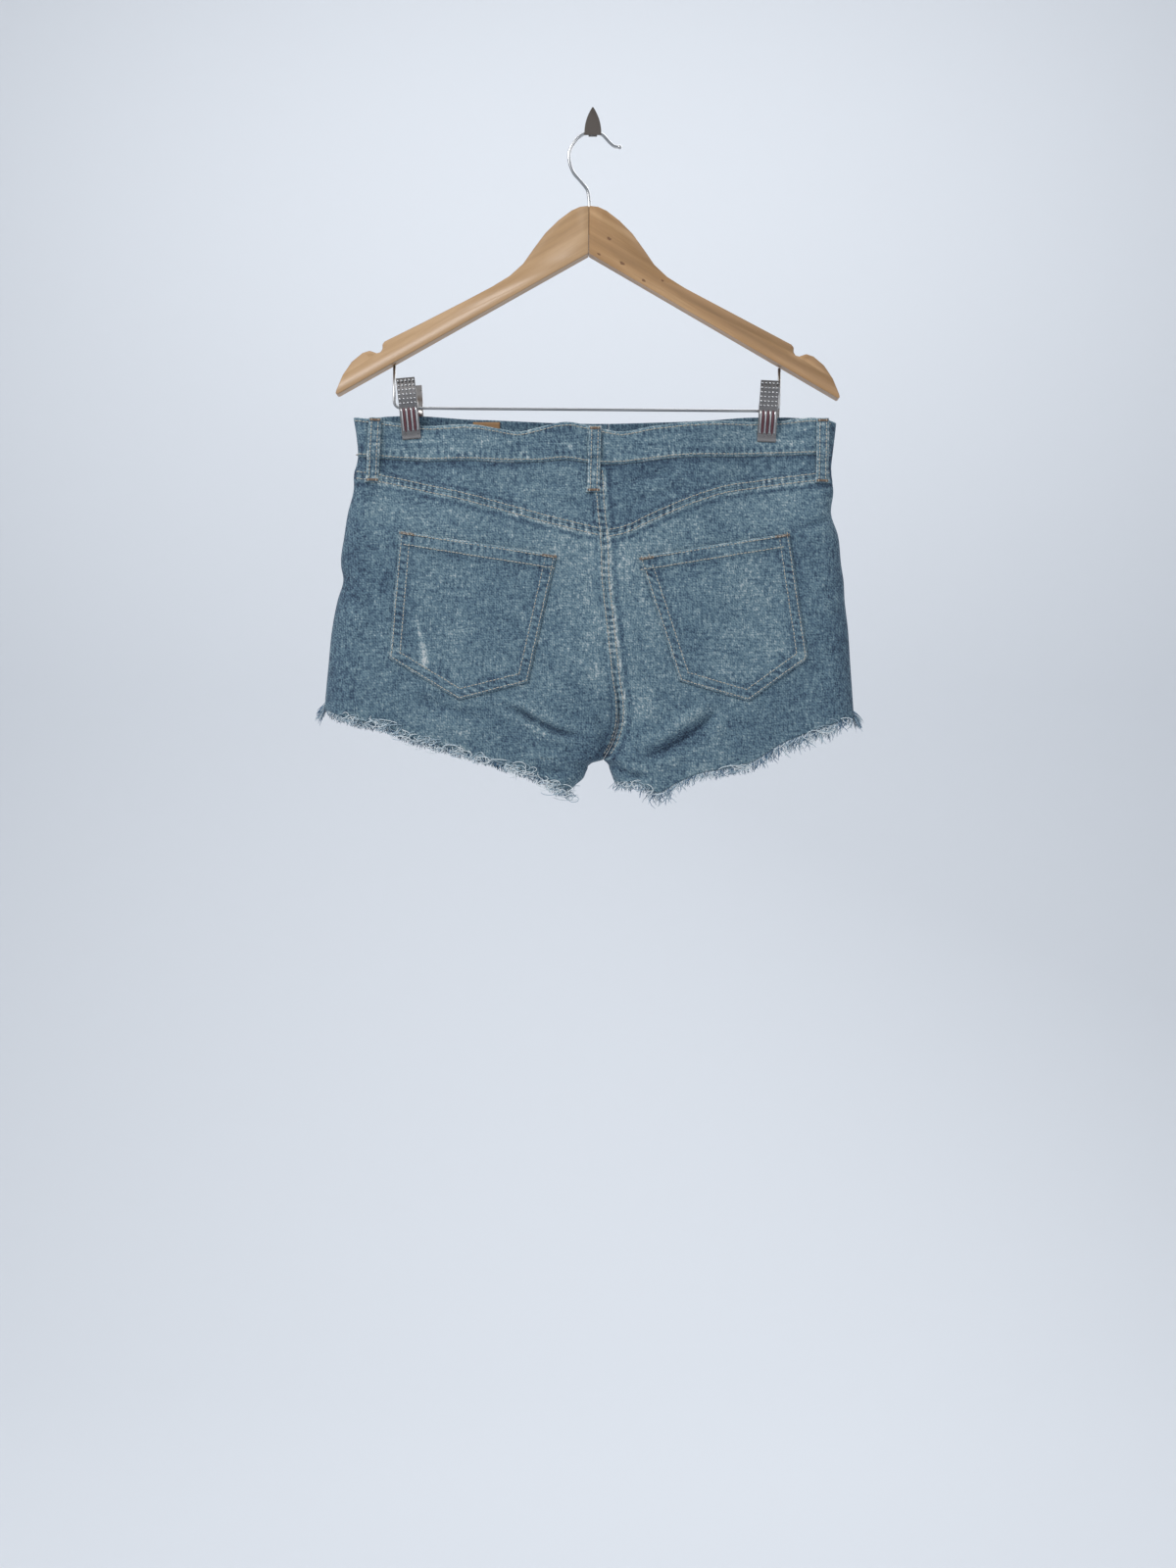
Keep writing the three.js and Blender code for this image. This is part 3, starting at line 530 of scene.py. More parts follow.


# --- tone of the wash, with painted shade
def wash_and_shade(x, z, side, half):
    """How faded the cloth is at each point, with painted shade in its folds, creases and beside its seams,
    from 0 for dark indigo to 1 for white.
    """
    tone = 0.5 + 0.05 * noise(x, z, 60, 4) + 0.04 * noise(x, z, 22, 5) + 0.03 * noise(x, z, 7, 6)
    # Painted shade: darker towards the side folds, where the cloth turns away.
    to_side = np.minimum(x - side_left(z), side_right(z) - x)
    tone -= 0.1 * gauss(to_side, 20)
    # Painted shadow in a band just under the waistband seam.
    below = waist_seam[side](x) - z
    tone -= 0.16 * gauss(below, 5)
    tone += 0.1 * gauss(np.abs(x - 8), 80) * gauss(z + 440, 90)
    tone += 0.07 * gauss(z - hem[half](x), 6)
    # Painted shade in the crease troughs and painted highlight on their ridges.
    creased = crease(x, z, side)
    tone += np.clip(creased, -4, 2) * np.where(creased < 0, 0.045, 0.09)
    off_seat = x - seat_seam(z)
    if side == "back":
        off_yoke = z - yoke_seam(x)
        # Paler just below the yoke seam from the wash; the darker patch in the yoke right of the middle is
        # painted shade of its soft folds.
        tone += 0.08 * gauss(off_yoke + 24, 20) - 0.1 * (off_yoke > 0) * gauss(x - 45, 50)
        rope = rope_of(x, z, x, 2)
        inside = 1 - ease((np.abs(off_yoke) - SEAM_BAND + 1) / 1.2)
        tone += inside * (0.25 * rope - 0.01)
        tone += 0.26 * gauss(off_yoke + SEAM_BAND, 1.2) * (0.6 + 0.4 * noise(x, z, 6, 7))
        # Painted shade: dark lines beside the yoke seam's raised edges.
        tone -= 0.2 * gauss(off_yoke + SEAM_BAND + 3.2, 1.8)
        tone -= 0.14 * gauss(off_yoke - SEAM_BAND - 1.6, 1.6)
    above = z > CROTCH_Z
    rope = rope_of(x, z, z, 0)
    inside = (1 - ease((np.abs(off_seat - SEAT_SHIFT) - SEAM_BAND + 1) / 1.2)) * above
    worn = 0.34 * gauss(off_seat - 5.4, 1.6) * (0.7 + 0.5 * noise(x, z, 7, 8)) * above
    tone += inside * (0.22 * rope - 0.02) + worn
    # Painted shade: dark lines beside the seat seam's raised edges.
    tone = tone - 0.2 * gauss(off_seat - 9.5, 2.2) * above - 0.14 * gauss(off_seat + 6.5, 1.8) * above
    fade = gauss(off_seat - 22, 16) * gauss(z + 545, 40) + gauss(off_seat + 18, 16) * gauss(z + 500, 45)
    tone += 0.09 * fade
    # Painted shade in the deep fold by the crotch, and where the legs meet.
    tone -= 0.1 * gauss(np.hypot((x - 78) / 1.6, z + 566), 16) * (side == "back")
    return tone - 0.14 * gauss(np.hypot(x - 12, z + 590), 20)


# --- garment pieces
def columns_across(z, half, share):
    """x at each share of the way from the side fold to the inner one, closer in the folds."""
    sign = 1 if half == "left" else -1
    outer = side_left(z) if half == "left" else side_right(z)
    last = inner_edge(z, half) - sign * 0.15
    fold = fold_radius(z)
    inner = inner_fold(z) * 0.6
    a = np.clip(share / 0.12, 0, 1)
    b = np.clip((share - 0.12) / 0.76, 0, 1)
    c = np.clip((share - 0.88) / 0.12, 0, 1)
    start = outer + sign * fold
    end = last - sign * inner
    x = start + (end - start) * b
    x = np.where(share < 0.12, outer + sign * fold * (1 - np.cos(a * np.pi / 2)), x)
    return np.where(share > 0.88, last - sign * inner * (1 - np.sin(c * np.pi / 2)), x)


def panel(name, side, half, top, bottom, rows, columns):
    share, down = grid(columns, rows)
    z = np.full_like(share, -450.0)
    for _ in range(8):
        x = columns_across(z, half, share)
        z = top(x) * (1 - down) + bottom(x) * down
    outer, inner = place(x, z, side, half, 0, -DENIM)
    obj = finished(shell(name, outer, inner, wash_and_shade(x, z, side, half)), DENIM_CLOTH, "denim", name)


def scoop_top(half):
    """The curved edge of a front pocket, and the front panel's top beyond it."""
    def edge(x):
        from_side = (x - side_left(-340)) if half == "left" else (side_right(-340) - x)
        share = np.clip(from_side / SCOOP_WIDTH, 0, 1)
        return waist_seam["front"](x) - 0.4 - SCOOP_DEPTH * np.sqrt(1 - share**2) ** 1.2

    return edge


def make_panels():
    for half in HALVES:
        panel(f"yoke_{half}", "back", half, lambda x: waist_seam["back"](x) - 0.1,
              lambda x: yoke_seam(x) + 0.1, 44, 170)
        panel(f"back_{half}", "back", half, lambda x: yoke_seam(x) - 0.1, hem[half], 150, 170)
        panel(f"front_{half}", "front", half, scoop_top(half),
              lambda x: hem[half](x) + FRONT_HEM_DROP[half], 110, 120)


def band(name, side, start, end, count):
    """A stretch of the folded waistband, with round upper and lower edges."""
    x, across = grid(count, 26, start, end)
    top, low = waist_top[side](x), waist_seam[side](x) + 0.15
    z = top * (1 - across) + low * across
    left, right = side_left(z), side_right(z)
    x = np.clip(x, left + 0.02, right - 0.02)
    edge = np.minimum(across, 1 - across) * (top - low)
    plump = 1.4 * arc(edge, 2.6)
    lumps = 0.3 * rope_of(x, z, x, 3) * gauss(edge - 4, 3.5)
    halves = [half_depth(x, z, side, half, -0.2) for half in HALVES]
    out = np.where(x < 0, *halves)
    to_side = np.minimum(x - left, right - x)
    side_turn = arc(to_side, 9)
    outer = surface(x, out + (plump + lumps) * side_turn, z, side)
    inner = surface(x, np.maximum(out - 1.4 * side_turn, LEAST_DEPTH), z, side)
    tone = 0.54 + 0.05 * noise(x, z, 40, 9) + 0.09 * noise(x, z * 8, 30, 10)
    tone += 0.17 * rope_of(x, z, x, 3) * (gauss(z - low - 5, 3.4) + 0.7 * gauss(top - z - 5, 3))
    tone += 0.2 * gauss(top - z, 1.5) * (0.7 + 0.5 * noise(x, z, 8, 11))
    tone += 0.16 * gauss(z - low, 1.6) * (0.7 + 0.5 * noise(x, z, 8, 12))
    # Painted shade: dark lines just inside the stitch rows, beside the band's rounded edges.
    tone = tone - 0.08 * gauss(z - low - 6.5, 1.6) - 0.06 * gauss(top - z - 6, 1.6)
    # Painted shade, darker towards the side folds.
    tone -= 0.1 * gauss(to_side, 12)
    tone += 0.5 * gauss(np.hypot(x + 20, z + 310), 2.2) * (side == "back")
    # The band's inner face is set darker still, as painted shade.
    obj = finished(shell(name, outer, inner, tone, 0.42), DENIM_CLOTH, "denim_trim", name)


def make_waistband():
    opening = 14
    band("waistband_back", "back", -213.5, 217, 420)
    band("waistband_front_left", "front", -213.5, opening, 180)
    band("waistband_front_right", "front", opening + 0.3, 217, 160)


# Where the pockets are rubbed pale: a line, and round corners as x, z, width, strength
RUBBED_LINE = [(-155, -460), (-152, -475), (-149.5, -487), (-148, -501)]
WORN_CORNERS = {"left": [(-174, -492, 7, 0.22)], "right": [(184, -492, 9, 0.16)]}


def pocket_point(half, u, v):
    """A point of a back pocket, u across it and v from its straight top down to its point."""
    top, bottom = POCKETS[half]["top"], np.array(POCKETS[half]["bottom"], float)
    part = (u >= 0.5).astype(int)
    t = u * 2 - part
    first, last = bottom[part], bottom[np.minimum(part + 1, 2)]
    x_top, z_top = (top[0][k] * (1 - u) + top[1][k] * u for k in (0, 1))
    x_low, z_low = (first[..., k] * (1 - t) + last[..., k] * t for k in (0, 1))
    return x_top * (1 - v) + x_low * v, z_top * (1 - v) + z_low * v


def pocket_outline(half):
    top, bottom = POCKETS[half]["top"], POCKETS[half]["bottom"]
    return [top[0], bottom[0], bottom[1], bottom[2], top[1]]


def make_pocket(half):
    u, v = grid(101, 101)
    x, z = pocket_point(half, np.minimum(u, 0.99999), v)
    to_edge, _ = to_line(x, z, pocket_outline(half))
    to_top, _ = to_line(x, z, POCKETS[half]["top"])
    nearest = np.minimum(to_edge, to_top)
    gape = 1.6 * np.sin(np.pi * u) * np.exp(-to_top / 18)
    hemmed = 0.5 * (1 - ease((to_top - 13) / 1.6))
    seam = 0.35 * (1 - ease((to_edge - 10) / 1.4))
    bars = rope_of(x, z, np.where(to_top < to_edge, x, z + 0.35 * x), 13)
    pucker = 0.2 * bars * (1 - ease((nearest - 8) / 3))
    lift = 0.3 + 1.3 * arc(nearest + 0.15, 1.8) + np.maximum(hemmed, seam) + pucker + gape
    outer, inner = place(x, z, "back", half, lift, 0.3 + gape * 0.9)
    tone = 0.565 + 0.06 * noise(x, z, 50, 14) + 0.05 * noise(x, z, 16, 15)
    fray = 0.75 + 0.45 * noise(x, z, 7, 16)
    tone += 0.25 * gauss(nearest, 1.3) * fray
    # Painted shade: dark lines where the raised seam and hem bands step down.
    tone = tone - 0.11 * gauss(to_edge - 11.8, 1.5) - 0.11 * gauss(to_top - 14.8, 1.5)
    tone += (0.17 * bars - 0.03) * gauss(nearest - 5.2, 3.2)
    # Painted shade along the pocket's sewn edge.
    tone -= 0.07 * gauss(to_edge - 1, 9)
    if half == "left":
        rub, along = to_line(x, z, RUBBED_LINE)
        tone += (0.2 + 0.3 * along) * gauss(rub, 1.4 + 2.2 * along) * fray
    for x_worn, z_worn, width, strength in WORN_CORNERS[half]:
        tone += strength * gauss(np.hypot(x - x_worn, z - z_worn), width) * fray
    name = f"back_pocket_{half}"
    obj = finished(shell(name, outer, inner, tone), DENIM_CLOTH, "denim", name)


# name, side, x at the top, x at the end, top, end
BELT_LOOPS = [
    ("back_left", "back", -192.6, -195.5, -283, -340),
    ("back_centre", "back", 2, 0.5, -291, -350),
    ("back_right", "back", 203.5, 203, -284, -341),
    ("front_left", "front", -112, -112, -281.5, -338),
    ("front_right", "front", 116, 116, -282, -338),
]


def loop_point(entry, u, v, lift):
    """A point of a belt loop, u across it and v down it, which stands over the waistband."""
    _, side, top_x, end_x, top, end = entry
    flare = 1 + 2.5 * np.maximum(v - 0.9, 0)
    x = top_x * (1 - v) + end_x * v + LOOP_WIDTH * (u - 0.5) * flare
    z = top * (1 - v) + end * v
    half = "left" if top_x < 0 else "right"
    bow = 1.3 * np.sin(np.pi * v)
    over = 1.9 * (1 - ease((-317 - z) / 4))
    return surface(x, half_depth(x, z, side, half, -(0.7 + over + bow + lift)), z, side)


def make_belt_loops():
    for entry in BELT_LOOPS:
        name = f"belt_loop_{entry[0]}"
        u, v = grid(17, 80)
        near = np.minimum(u, 1 - u) * LOOP_WIDTH
        down = v * LOOP_LENGTH
        bars = rope_of(u * LOOP_WIDTH, down, down, 6)
        crown = 1.0 * arc(near + 0.1, 1.4) + 0.25 * gauss(near - 2.6, 0.9)
        crown = crown + 0.15 * bars * gauss(near - 1, 2)
        outer = loop_point(entry, u, v, crown)
        inner = loop_point(entry, u, v, -0.4)
        x, z = outer[..., 0] / MM, outer[..., 2] / MM
        tone = 0.57 + 0.06 * noise(x, z, 9, 17) + 0.22 * gauss(near, 0.9) + 0.12 * bars
        # Paler ends from wear; the dark line just inside each stitch ridge is painted shade.
        tone += 0.12 * gauss(LOOP_LENGTH - down, 2) + 0.1 * gauss(down, 2) - 0.12 * gauss(near - 3.6, 0.9)
        obj = finished(shell(name, outer, inner, tone), DENIM_CLOTH, "denim_trim", name)


def make_facing(half):
    """The denim inside a front pocket's scoop, from the side fold inwards."""
    share, down = grid(60, 36)
    edge = scoop_top(half)
    z = np.full_like(share, -340.0)
    for _ in range(8):
        reach = 0.2 + 98 * share**1.9
        x = side_left(z) + reach if half == "left" else side_right(z) - reach
        top = waist_seam["front"](x) - 0.5
        z = top * (1 - down) + np.minimum(edge(x) - 16, top - 20) * down
    lift = -1.7 * arc(reach, 8)
    outer, inner = place(x, z, "front", half, lift, lift - DENIM)
    name = f"front_pocket_facing_{half}"
    # Set a little darker than the panels as painted shade inside the scoop.
    tone = wash_and_shade(x, z, "front", half) - 0.08
    obj = finished(shell(name, outer, inner, tone), DENIM_CLOTH, "denim", name)


def fly_patch(name, x_range, length, lift, thick, mat, slot):
    """A flat strip behind the fly, hung from the waist seam."""
    x, down = grid(40, 30, *x_range)
    z = waist_seam["front"](x) - 0.5 - length * down
    outer, inner = place(x, z, "front", "right", lift, lift - thick)
    # Set a little darker than the panels as painted shade behind the fly.
    tone = wash_and_shade(x, z, "front", "right") - 0.05
    obj = finished(shell(name, outer, inner, tone), mat, slot, name)


def make_front_details():
    for half in HALVES:
        make_facing(half)
    fly_patch("fly_shield", (-11, 25), 104, -3.1, DENIM, DENIM_CLOTH, "denim")
    fly_patch("fly_zip", (-4, 14), 96, -1.9, 0.7, DULL, "zip")


# --- stitching
def along_path(points, step):
    """Even points along a line of points (x, z), with the direction at each."""
    points = np.asarray(points, float)
    reached = np.concatenate([[0], np.cumsum(np.hypot(*np.diff(points, axis=0).T))])
    at = np.arange(step / 2, reached[-1], step)
    here, behind, ahead = (
        [np.interp(at + shift, reached, points[:, k]) for k in (0, 1)] for shift in (0, -0.5, 0.5)
    )
    dx, dz = ahead[0] - behind[0], ahead[1] - behind[1]
    size = np.hypot(dx, dz) + 1e-9
    return *here, dx / size, dz / size


def stitch_lines(points, height):
    """Short threads along a line; height(x, z) gives a point just above the cloth."""
    x, z, dx, dz = along_path(points, STITCH_PITCH)
    lines = []
    for i in range(len(x)):
        size = STITCH_LENGTH * (0.9 + 0.2 * rng.random()) / 2
        t = np.array([-1, -0.5, 0.5, 1]) * size
        sink = np.array([-0.25, 0.12, 0.12, -0.25])
        jitter = 0.12 * rng.normal()
        lines.append(height(x[i] + dx[i] * t - dz[i] * jitter, z[i] + dz[i] * t + dx[i] * jitter, sink))
    return lines


def on_cloth(side, extra):
    """A function that gives points just above one side of the cloth."""
    def height(x, z, sink):
        half = "left" if np.mean(x) < np.mean(inner_edge(z, "left")) else "right"
        relief = seam_relief(x, z, side)
        return surface(x, half_depth(x, z, side, half, -(extra + sink) - relief), z, side)

    return height


def inset_outline(half, distance):
    """The pocket's sides and point, moved in."""
    corners = np.array(pocket_outline(half), float)
    centre = (corners[[0, 4]].mean(0) + corners[1:4].mean(0)) / 2
    lines = []
    for a, b in zip(corners, corners[1:]):
        along = (b - a) / np.hypot(*(b - a))
        normal = np.array([-along[1], along[0]])
        if np.dot(centre - a, normal) < 0:
            normal = -normal
        lines.append((a + normal * distance, along))
    route = [lines[0][0]]
    for (p, d), (q, e) in zip(lines, lines[1:]):
        t = np.linalg.solve(np.array([d, -e]).T, q - p)[0]
        route.append(p + d * t)
    route.append(lines[-1][0] + lines[-1][1] * np.hypot(*(corners[-1] - corners[-2])))
    return route


FLY_CURVE = [(34, -324), (34, -395), (31, -412), (24, -424), (13, -431)]
# Bar tacks on the pockets' corners: x, z, angle
POCKET_TACKS = [(-164, -387, -0.15), (-38, -407, -0.15), (47, -409, 0.15), (167, -389, 0.15)]


def make_stitches():
    rows = []
    xs = np.linspace(-211, 211, 160)
    for side in ("back", "front"):
        above = on_cloth(side, 1.75)
        for line in (waist_top[side](xs) - 3.2, waist_seam[side](xs) + 2.6):
            rows.append((np.stack([xs, line], -1), above))
    on_back, on_front = on_cloth("back", 0.12), on_cloth("front", 0.12)
    back_zs, front_zs = (np.linspace(top, CROTCH_Z + 4, n) for top, n in ((-330, 120), (-430, 80)))
    yoke_spans = [np.linspace(low, high, 90) for low, high in ((-210, 4), (14, 211))]
    for shift in (-STITCH_ROW, STITCH_ROW):
        for span in yoke_spans:
            rows.append((np.stack([span, yoke_seam(span) + shift], -1), on_back))
        for zs, height in ((back_zs, on_back), (front_zs, on_front)):
            rows.append((np.stack([seat_seam(zs) + SEAT_SHIFT + shift, zs], -1), height))
    for half in HALVES:
        for distance in (1.8, 9.2):
            rows.append((inset_outline(half, distance), on_cloth("back", 1.95)))
        top = np.array(POCKETS[half]["top"], float)
        down = np.array([0.1 if half == "left" else -0.1, -1.0])
        for distance in (2.2, 12.0):
            rows.append((top + down * distance + [(2, 0), (-2, 0)], on_cloth("back", 3.2)))
        reach = np.linspace(8, 91, 60)
        x = side_left(-340) + reach if half == "left" else side_right(-340) - reach
        for distance in (2.5, 8.5):
            rows.append((np.stack([x, scoop_top(half)(x) - distance], -1), on_front))
    for shift in (0, 5):
        rows.append(([(x - shift, z) for x, z in FLY_CURVE], on_front))
    tan = [line for points, height in rows for line in stitch_lines(points, height)]
    for entry in BELT_LOOPS:
        for u in (0.24, 0.76):
            for at in np.linspace(0.03, 0.97, 18):
                t = at + np.array([-0.02, -0.01, 0.01, 0.02])
                tan.append(loop_point(entry, np.full(4, u), t, 1.3))
    finished(threads("sewing_thread", tan, 0.42 * MM, 5), THREAD, "denim_trim")


def make_tacks():
    lines = []
    above = on_cloth("back", 3.0)
    for x, z, angle in POCKET_TACKS:
        for i in range(12):
            t = (i / 11 - 0.5) * 12
            cx, cz = x + t * math.cos(angle), z + t * math.sin(angle)
            rise = np.array([-1, 0, 1]) * 1.3
            px = cx - rise * math.sin(angle) + 0.2 * rng.normal(size=3)
            lines.append(above(px, cz + rise * math.cos(angle), np.array([0, 0.3, 0])))
    for entry in BELT_LOOPS:
        for v in (0.035, 0.965):
            for u in np.linspace(0.12, 0.88, 11):
                t = v + np.array([-0.02, 0, 0.02])
                lines.append(loop_point(entry, np.full(3, u), t, 1.35))
    finished(threads("bar_tacks", lines, 0.34 * MM, 5), TACK, "denim_trim")


# --- frayed hems
HEM_SPAN = {"left": (-236, -20), "right": (21, 230)}
HEM_END_Z = {"left": -540, "right": -547}
# Turned-up fray: first x, last x, how many loops, how far they stand below and above the edge
TANGLES = [(-219, -204, 18, 5, 3), (-195, -184, 16, 3, 6), (-182, -164, 20, 5, 4),
           (-163, -135, 30, 8, 3), (-127, -107, 22, 8, 3), (-104, -94, 10, 4, 3),
           (-85, -52, 34, 7, 5), (-43, -18, 40, 11, 4), (24, 60, 14, 6, 2),
           (120, 150, 8, 5, 2), (170, 225, 14, 6, 2)]
# For each colour of loose thread: the end of its pieces' names, how many threads, its material
FRAY_COLOURS = [("", 210, FRAY), ("_blue", 240, FRAY_BLUE), ("_pale", 210, FRAY_PALE)]


def longest(half, x):
    """How far the longest threads hang below the edge at x."""
    if half == "left":
        return 4.2 + 2.5 * gauss(x + 30, 22)
    return 8 + 5 * gauss(x - 190, 34) + 4 * gauss(x - 55, 14)


def hem_threads(half, side, count):
    """Loose threads below a cut edge, each with its own length, lean and curl."""
    drop = FRONT_HEM_DROP[half] if side == "front" else 0
    lines = []
    for _ in range(count):
        x0 = rng.uniform(*HEM_SPAN[half])
        z0 = hem[half](x0) + drop
        size = longest(half, x0) * (0.3 + 0.9 * rng.random() ** 1.2)
        lean = rng.normal() * 0.35
        curl = rng.normal() * 0.9
        t = np.linspace(-0.15, 1, 6)
        x = x0 + size * (lean * t + 0.22 * curl * np.sin(3.2 * t + rng.uniform(0, 6)))
        z = z0 - size * t * (1 - 0.12 * abs(lean))
        out = half_depth(np.full(6, x0), np.full(6, z0), side, half, 0.65)
        lines.append(surface(x, out + size * (0.18 * rng.normal() * t**2), z, side))
    return lines


def side_tufts(half, count):
    """Threads that stick out and down from the hem's end at the side fold."""
    lines = []
    sign = -1 if half == "left" else 1
    for _ in range(count):
        z0 = HEM_END_Z[half] + rng.uniform(-3, 5)
        x0 = float(side_left(z0) + 1) if half == "left" else float(side_right(z0) - 1)
        size = rng.uniform(4, 12)
        t = np.linspace(0, 1, 6)
        x = x0 + sign * size * t * rng.uniform(0.3, 0.9)
        z = z0 - size * (0.9 * t**1.5 + 0.15 * rng.normal() * t)
        y = HANG_Y + rng.uniform(-4, 4) + rng.normal() * t
        lines.append(np.stack([x, y, z], -1) * MM)
    return lines


def tangles():
    """Loops of thread that turn up over the cut edge."""
    lines = []
    for low, high, count, below, above in TANGLES:
        half = "left" if low < 0 else "right"
        for _ in range(count):
            x0 = rng.uniform(low, high)
            edge = float(hem[half](x0))
            z0 = edge + rng.uniform(-0.7 * below, 0.7 * above)
            turns = rng.uniform(0.2, 0.9)
            size = rng.uniform(1.5, 7.0)
            t = np.linspace(0, 1, 12)
            spin = t * turns * 2 * np.pi + rng.uniform(0, 6.28)
            x = x0 + size * np.cos(spin) + 6 * (t - 0.5) * rng.normal()
            z = z0 + 0.55 * size * np.sin(spin) + 2.0 * (t - 0.5) * rng.normal()
            out = half_depth(np.full(12, x0), np.full(12, edge + 1), "back", half, -0.5)
            lift = 0.4 + 0.9 * np.abs(np.sin(spin * 0.7)) * rng.random()
            lines.append(surface(x, out + lift, z, "back"))
    return lines


def make_fray():
    for half in HALVES:
        for side in ("back", "front"):
            name = f"fray_{side}_{half}"
            for colour, count, mat in FRAY_COLOURS:
                lines = hem_threads(half, side, count) + side_tufts(half, count // 12)
                stands_for = [] if colour else [name]
                finished(threads(name + colour, lines, 0.26 * MM, 4), mat, "fray", *stands_for)
    loops = tangles()
    finished(threads("turned_up_fray", loops[::2], 0.33 * MM, 4), FRAY_PALE, "fray")
    finished(threads("turned_up_fray_blue", loops[1::2], 0.28 * MM, 4), FRAY, "fray")


# --- hanger and hooks
def copy_of(node, name, bevel, segments):
    """A copy of a CAD piece with rounded edges."""
    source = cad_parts[node]
    obj = bpy.data.objects.new(name, source.data.copy())
    bpy.context.scene.collection.objects.link(obj)
    obj.matrix_world = source.matrix_world.copy()
    work = bmesh.new()
    work.from_mesh(obj.data)
    bmesh.ops.remove_doubles(work, verts=work.verts, dist=1e-5)
    bmesh.ops.dissolve_limit(work, angle_limit=math.radians(1.5), verts=work.verts, edges=work.edges)
    bmesh.ops.recalc_face_normals(work, faces=work.faces)
    sharp = [e for e in work.edges if e.is_manifold and e.calc_face_angle(0) > math.radians(35)]
    bmesh.ops.bevel(work, geom=sharp, offset=bevel, segments=segments, affect="EDGES", clamp_overlap=True)
    work.to_mesh(obj.data)
    work.free()
    for polygon in obj.data.polygons:
        polygon.use_smooth = True
    obj.data.set_sharp_from_angle(angle=math.radians(40))
    return obj


# Knots along the right arm, in the hanger's own frame: x, z, radius
KNOTS = [(18, -29, 2.4), (9, -43, 1.9), (30, -51, 2.6), (49, -66, 2.2), (65.6, -66, 1.6)]
KNOT_POINTS = 14
ARM_FACE = -6.03  # just in front of the arm's face


def make_arms():
    for half in HALVES:
        node = f"hanger_arm_{half}"
        finished(copy_of(node, f"beech_arm_{half}", 1.9 * MM, 4), WOOD[half], "wood", node)
    joint = [(x, y, z) for y in (-5.6, 5.6) for z in (-1.5, -40.5) for x in (-0.1, 0.1)]
    sides = [[0, 1, 3, 2], [4, 6, 7, 5], [0, 4, 5, 1], [2, 3, 7, 6], [0, 2, 6, 4], [1, 5, 7, 3]]
    finished(mesh_object("mitre_glue_line", hanger_point(np.array(joint)), sides, False), GLUE, "wood")
    knots = []
    around = full_turn(KNOT_POINTS)
    for x, z, size in KNOTS:
        uneven = size * (0.75 + 0.4 * rng.random(KNOT_POINTS))
        along, across = uneven * np.cos(around), 0.5 * uneven * np.sin(around)
        ring = [x + 0.87 * along + 0.5 * across, np.full(KNOT_POINTS, ARM_FACE),
                z - 0.5 * along + 0.87 * across]
        knots.append(hanger_point(np.stack(ring, -1)))
    faces = np.arange(len(KNOTS) * KNOT_POINTS).reshape(-1, KNOT_POINTS)
    finished(mesh_object("wood_knots", np.concatenate(knots), faces), KNOT, "wood")


def hanger_point(local):
    tilt = math.radians(HANGER["tilt"])
    x, y, z = local[..., 0], local[..., 1], local[..., 2]
    turned_x = x * math.cos(tilt) + z * math.sin(tilt)
    turned_z = -x * math.sin(tilt) + z * math.cos(tilt)
    return np.stack([turned_x + HANGER["x"], y + HANG_Y, turned_z + HANGER["z"]], -1) * MM


def smooth_route(points, count):
    """Even points along a smooth line through the given ones."""
    points = np.asarray(points, float)
    reached = np.concatenate([[0], np.cumsum(np.hypot(*np.diff(points, axis=0).T))])
    at = np.linspace(0, reached[-1], count)
    fits = [curve([(s, v) for s, v in zip(reached, points[:, k])]) for k in (0, 1)]
    return np.stack([fits[0](at), np.zeros(count), fits[1](at)], -1)


HOOK_ROUTE = [(0, -24), (0, -8), (-0.1, 8), (-1.6, 15.5), (-7.2, 23), (-14, 31), (-17.6, 40),
              (-18.2, 48.5), (-14.6, 57), (-7, 64.8), (3.3, 67.9), (11, 65.2), (18.2, 58),
              (22, 55), (26.8, 54.3)]


def make_wires():
    hook = hanger_point(smooth_route(HOOK_ROUTE, 110))
    finished(threads("steel_hook", [hook], 1.45 * MM, 20, False), CHROME, "steel", "hanger_hook")
    bpy.ops.mesh.primitive_uv_sphere_add(segments=24, ring_count=12, radius=1.95 * MM)
    end = bpy.context.object
    end.name = "hook_end_ball"
    end.location = hook[-1]
    end.data.polygons.foreach_set("use_smooth", [True] * len(end.data.polygons))
    finished(end, CHROME, "steel")
    left, right, top, bend = BAR_SHIFT - BAR_HALF, BAR_SHIFT + BAR_HALF, -141.5, 6
    bends = [(bend * (1 - math.cos(a)), bend * (1 - math.sin(a))) for a in np.linspace(0, np.pi / 2, 9)]
    route = [(left, 0, top)]
    route += [(left + inwards, 0, BAR_DROP + up) for inwards, up in bends]
    route += [(right - inwards, 0, BAR_DROP + up) for inwards, up in reversed(bends)]
    route += [(right, 0, top)]
    bar = hanger_point(np.array(route))
    finished(threads("steel_bar", [bar], 1.28 * MM, 16, False), BAR_STEEL, "steel", "hanger_bar")


def make_clips():
    for half in HALVES:
        for side in ("back", "front"):
            node = f"clip_{half}_{side}_jaw"
            finished(copy_of(node, f"stamped_{half}_{side}_jaw", 0.35 * MM, 2), JAW_PLATE, "steel", node)
            clip_details(half, side)
        spring = f"clip_{half}_spring"
        finished(copy_of(spring, f"coil_{half}", 0.2 * MM, 2), BAR_STEEL, "steel", spring)


CLIP_LEAN = {"left": -5.0, "right": 2.6}
FRONT_JAW_SHIFT = {"left": 3.4, "right": 3.2}
# Height above the bar, and distance of a jaw's plate from the middle plane
jaw_face = curve([(-28.5, 4.8), (-24, 5.4), (-8, 9.4), (2, 10.0), (23.5, 16.8)])


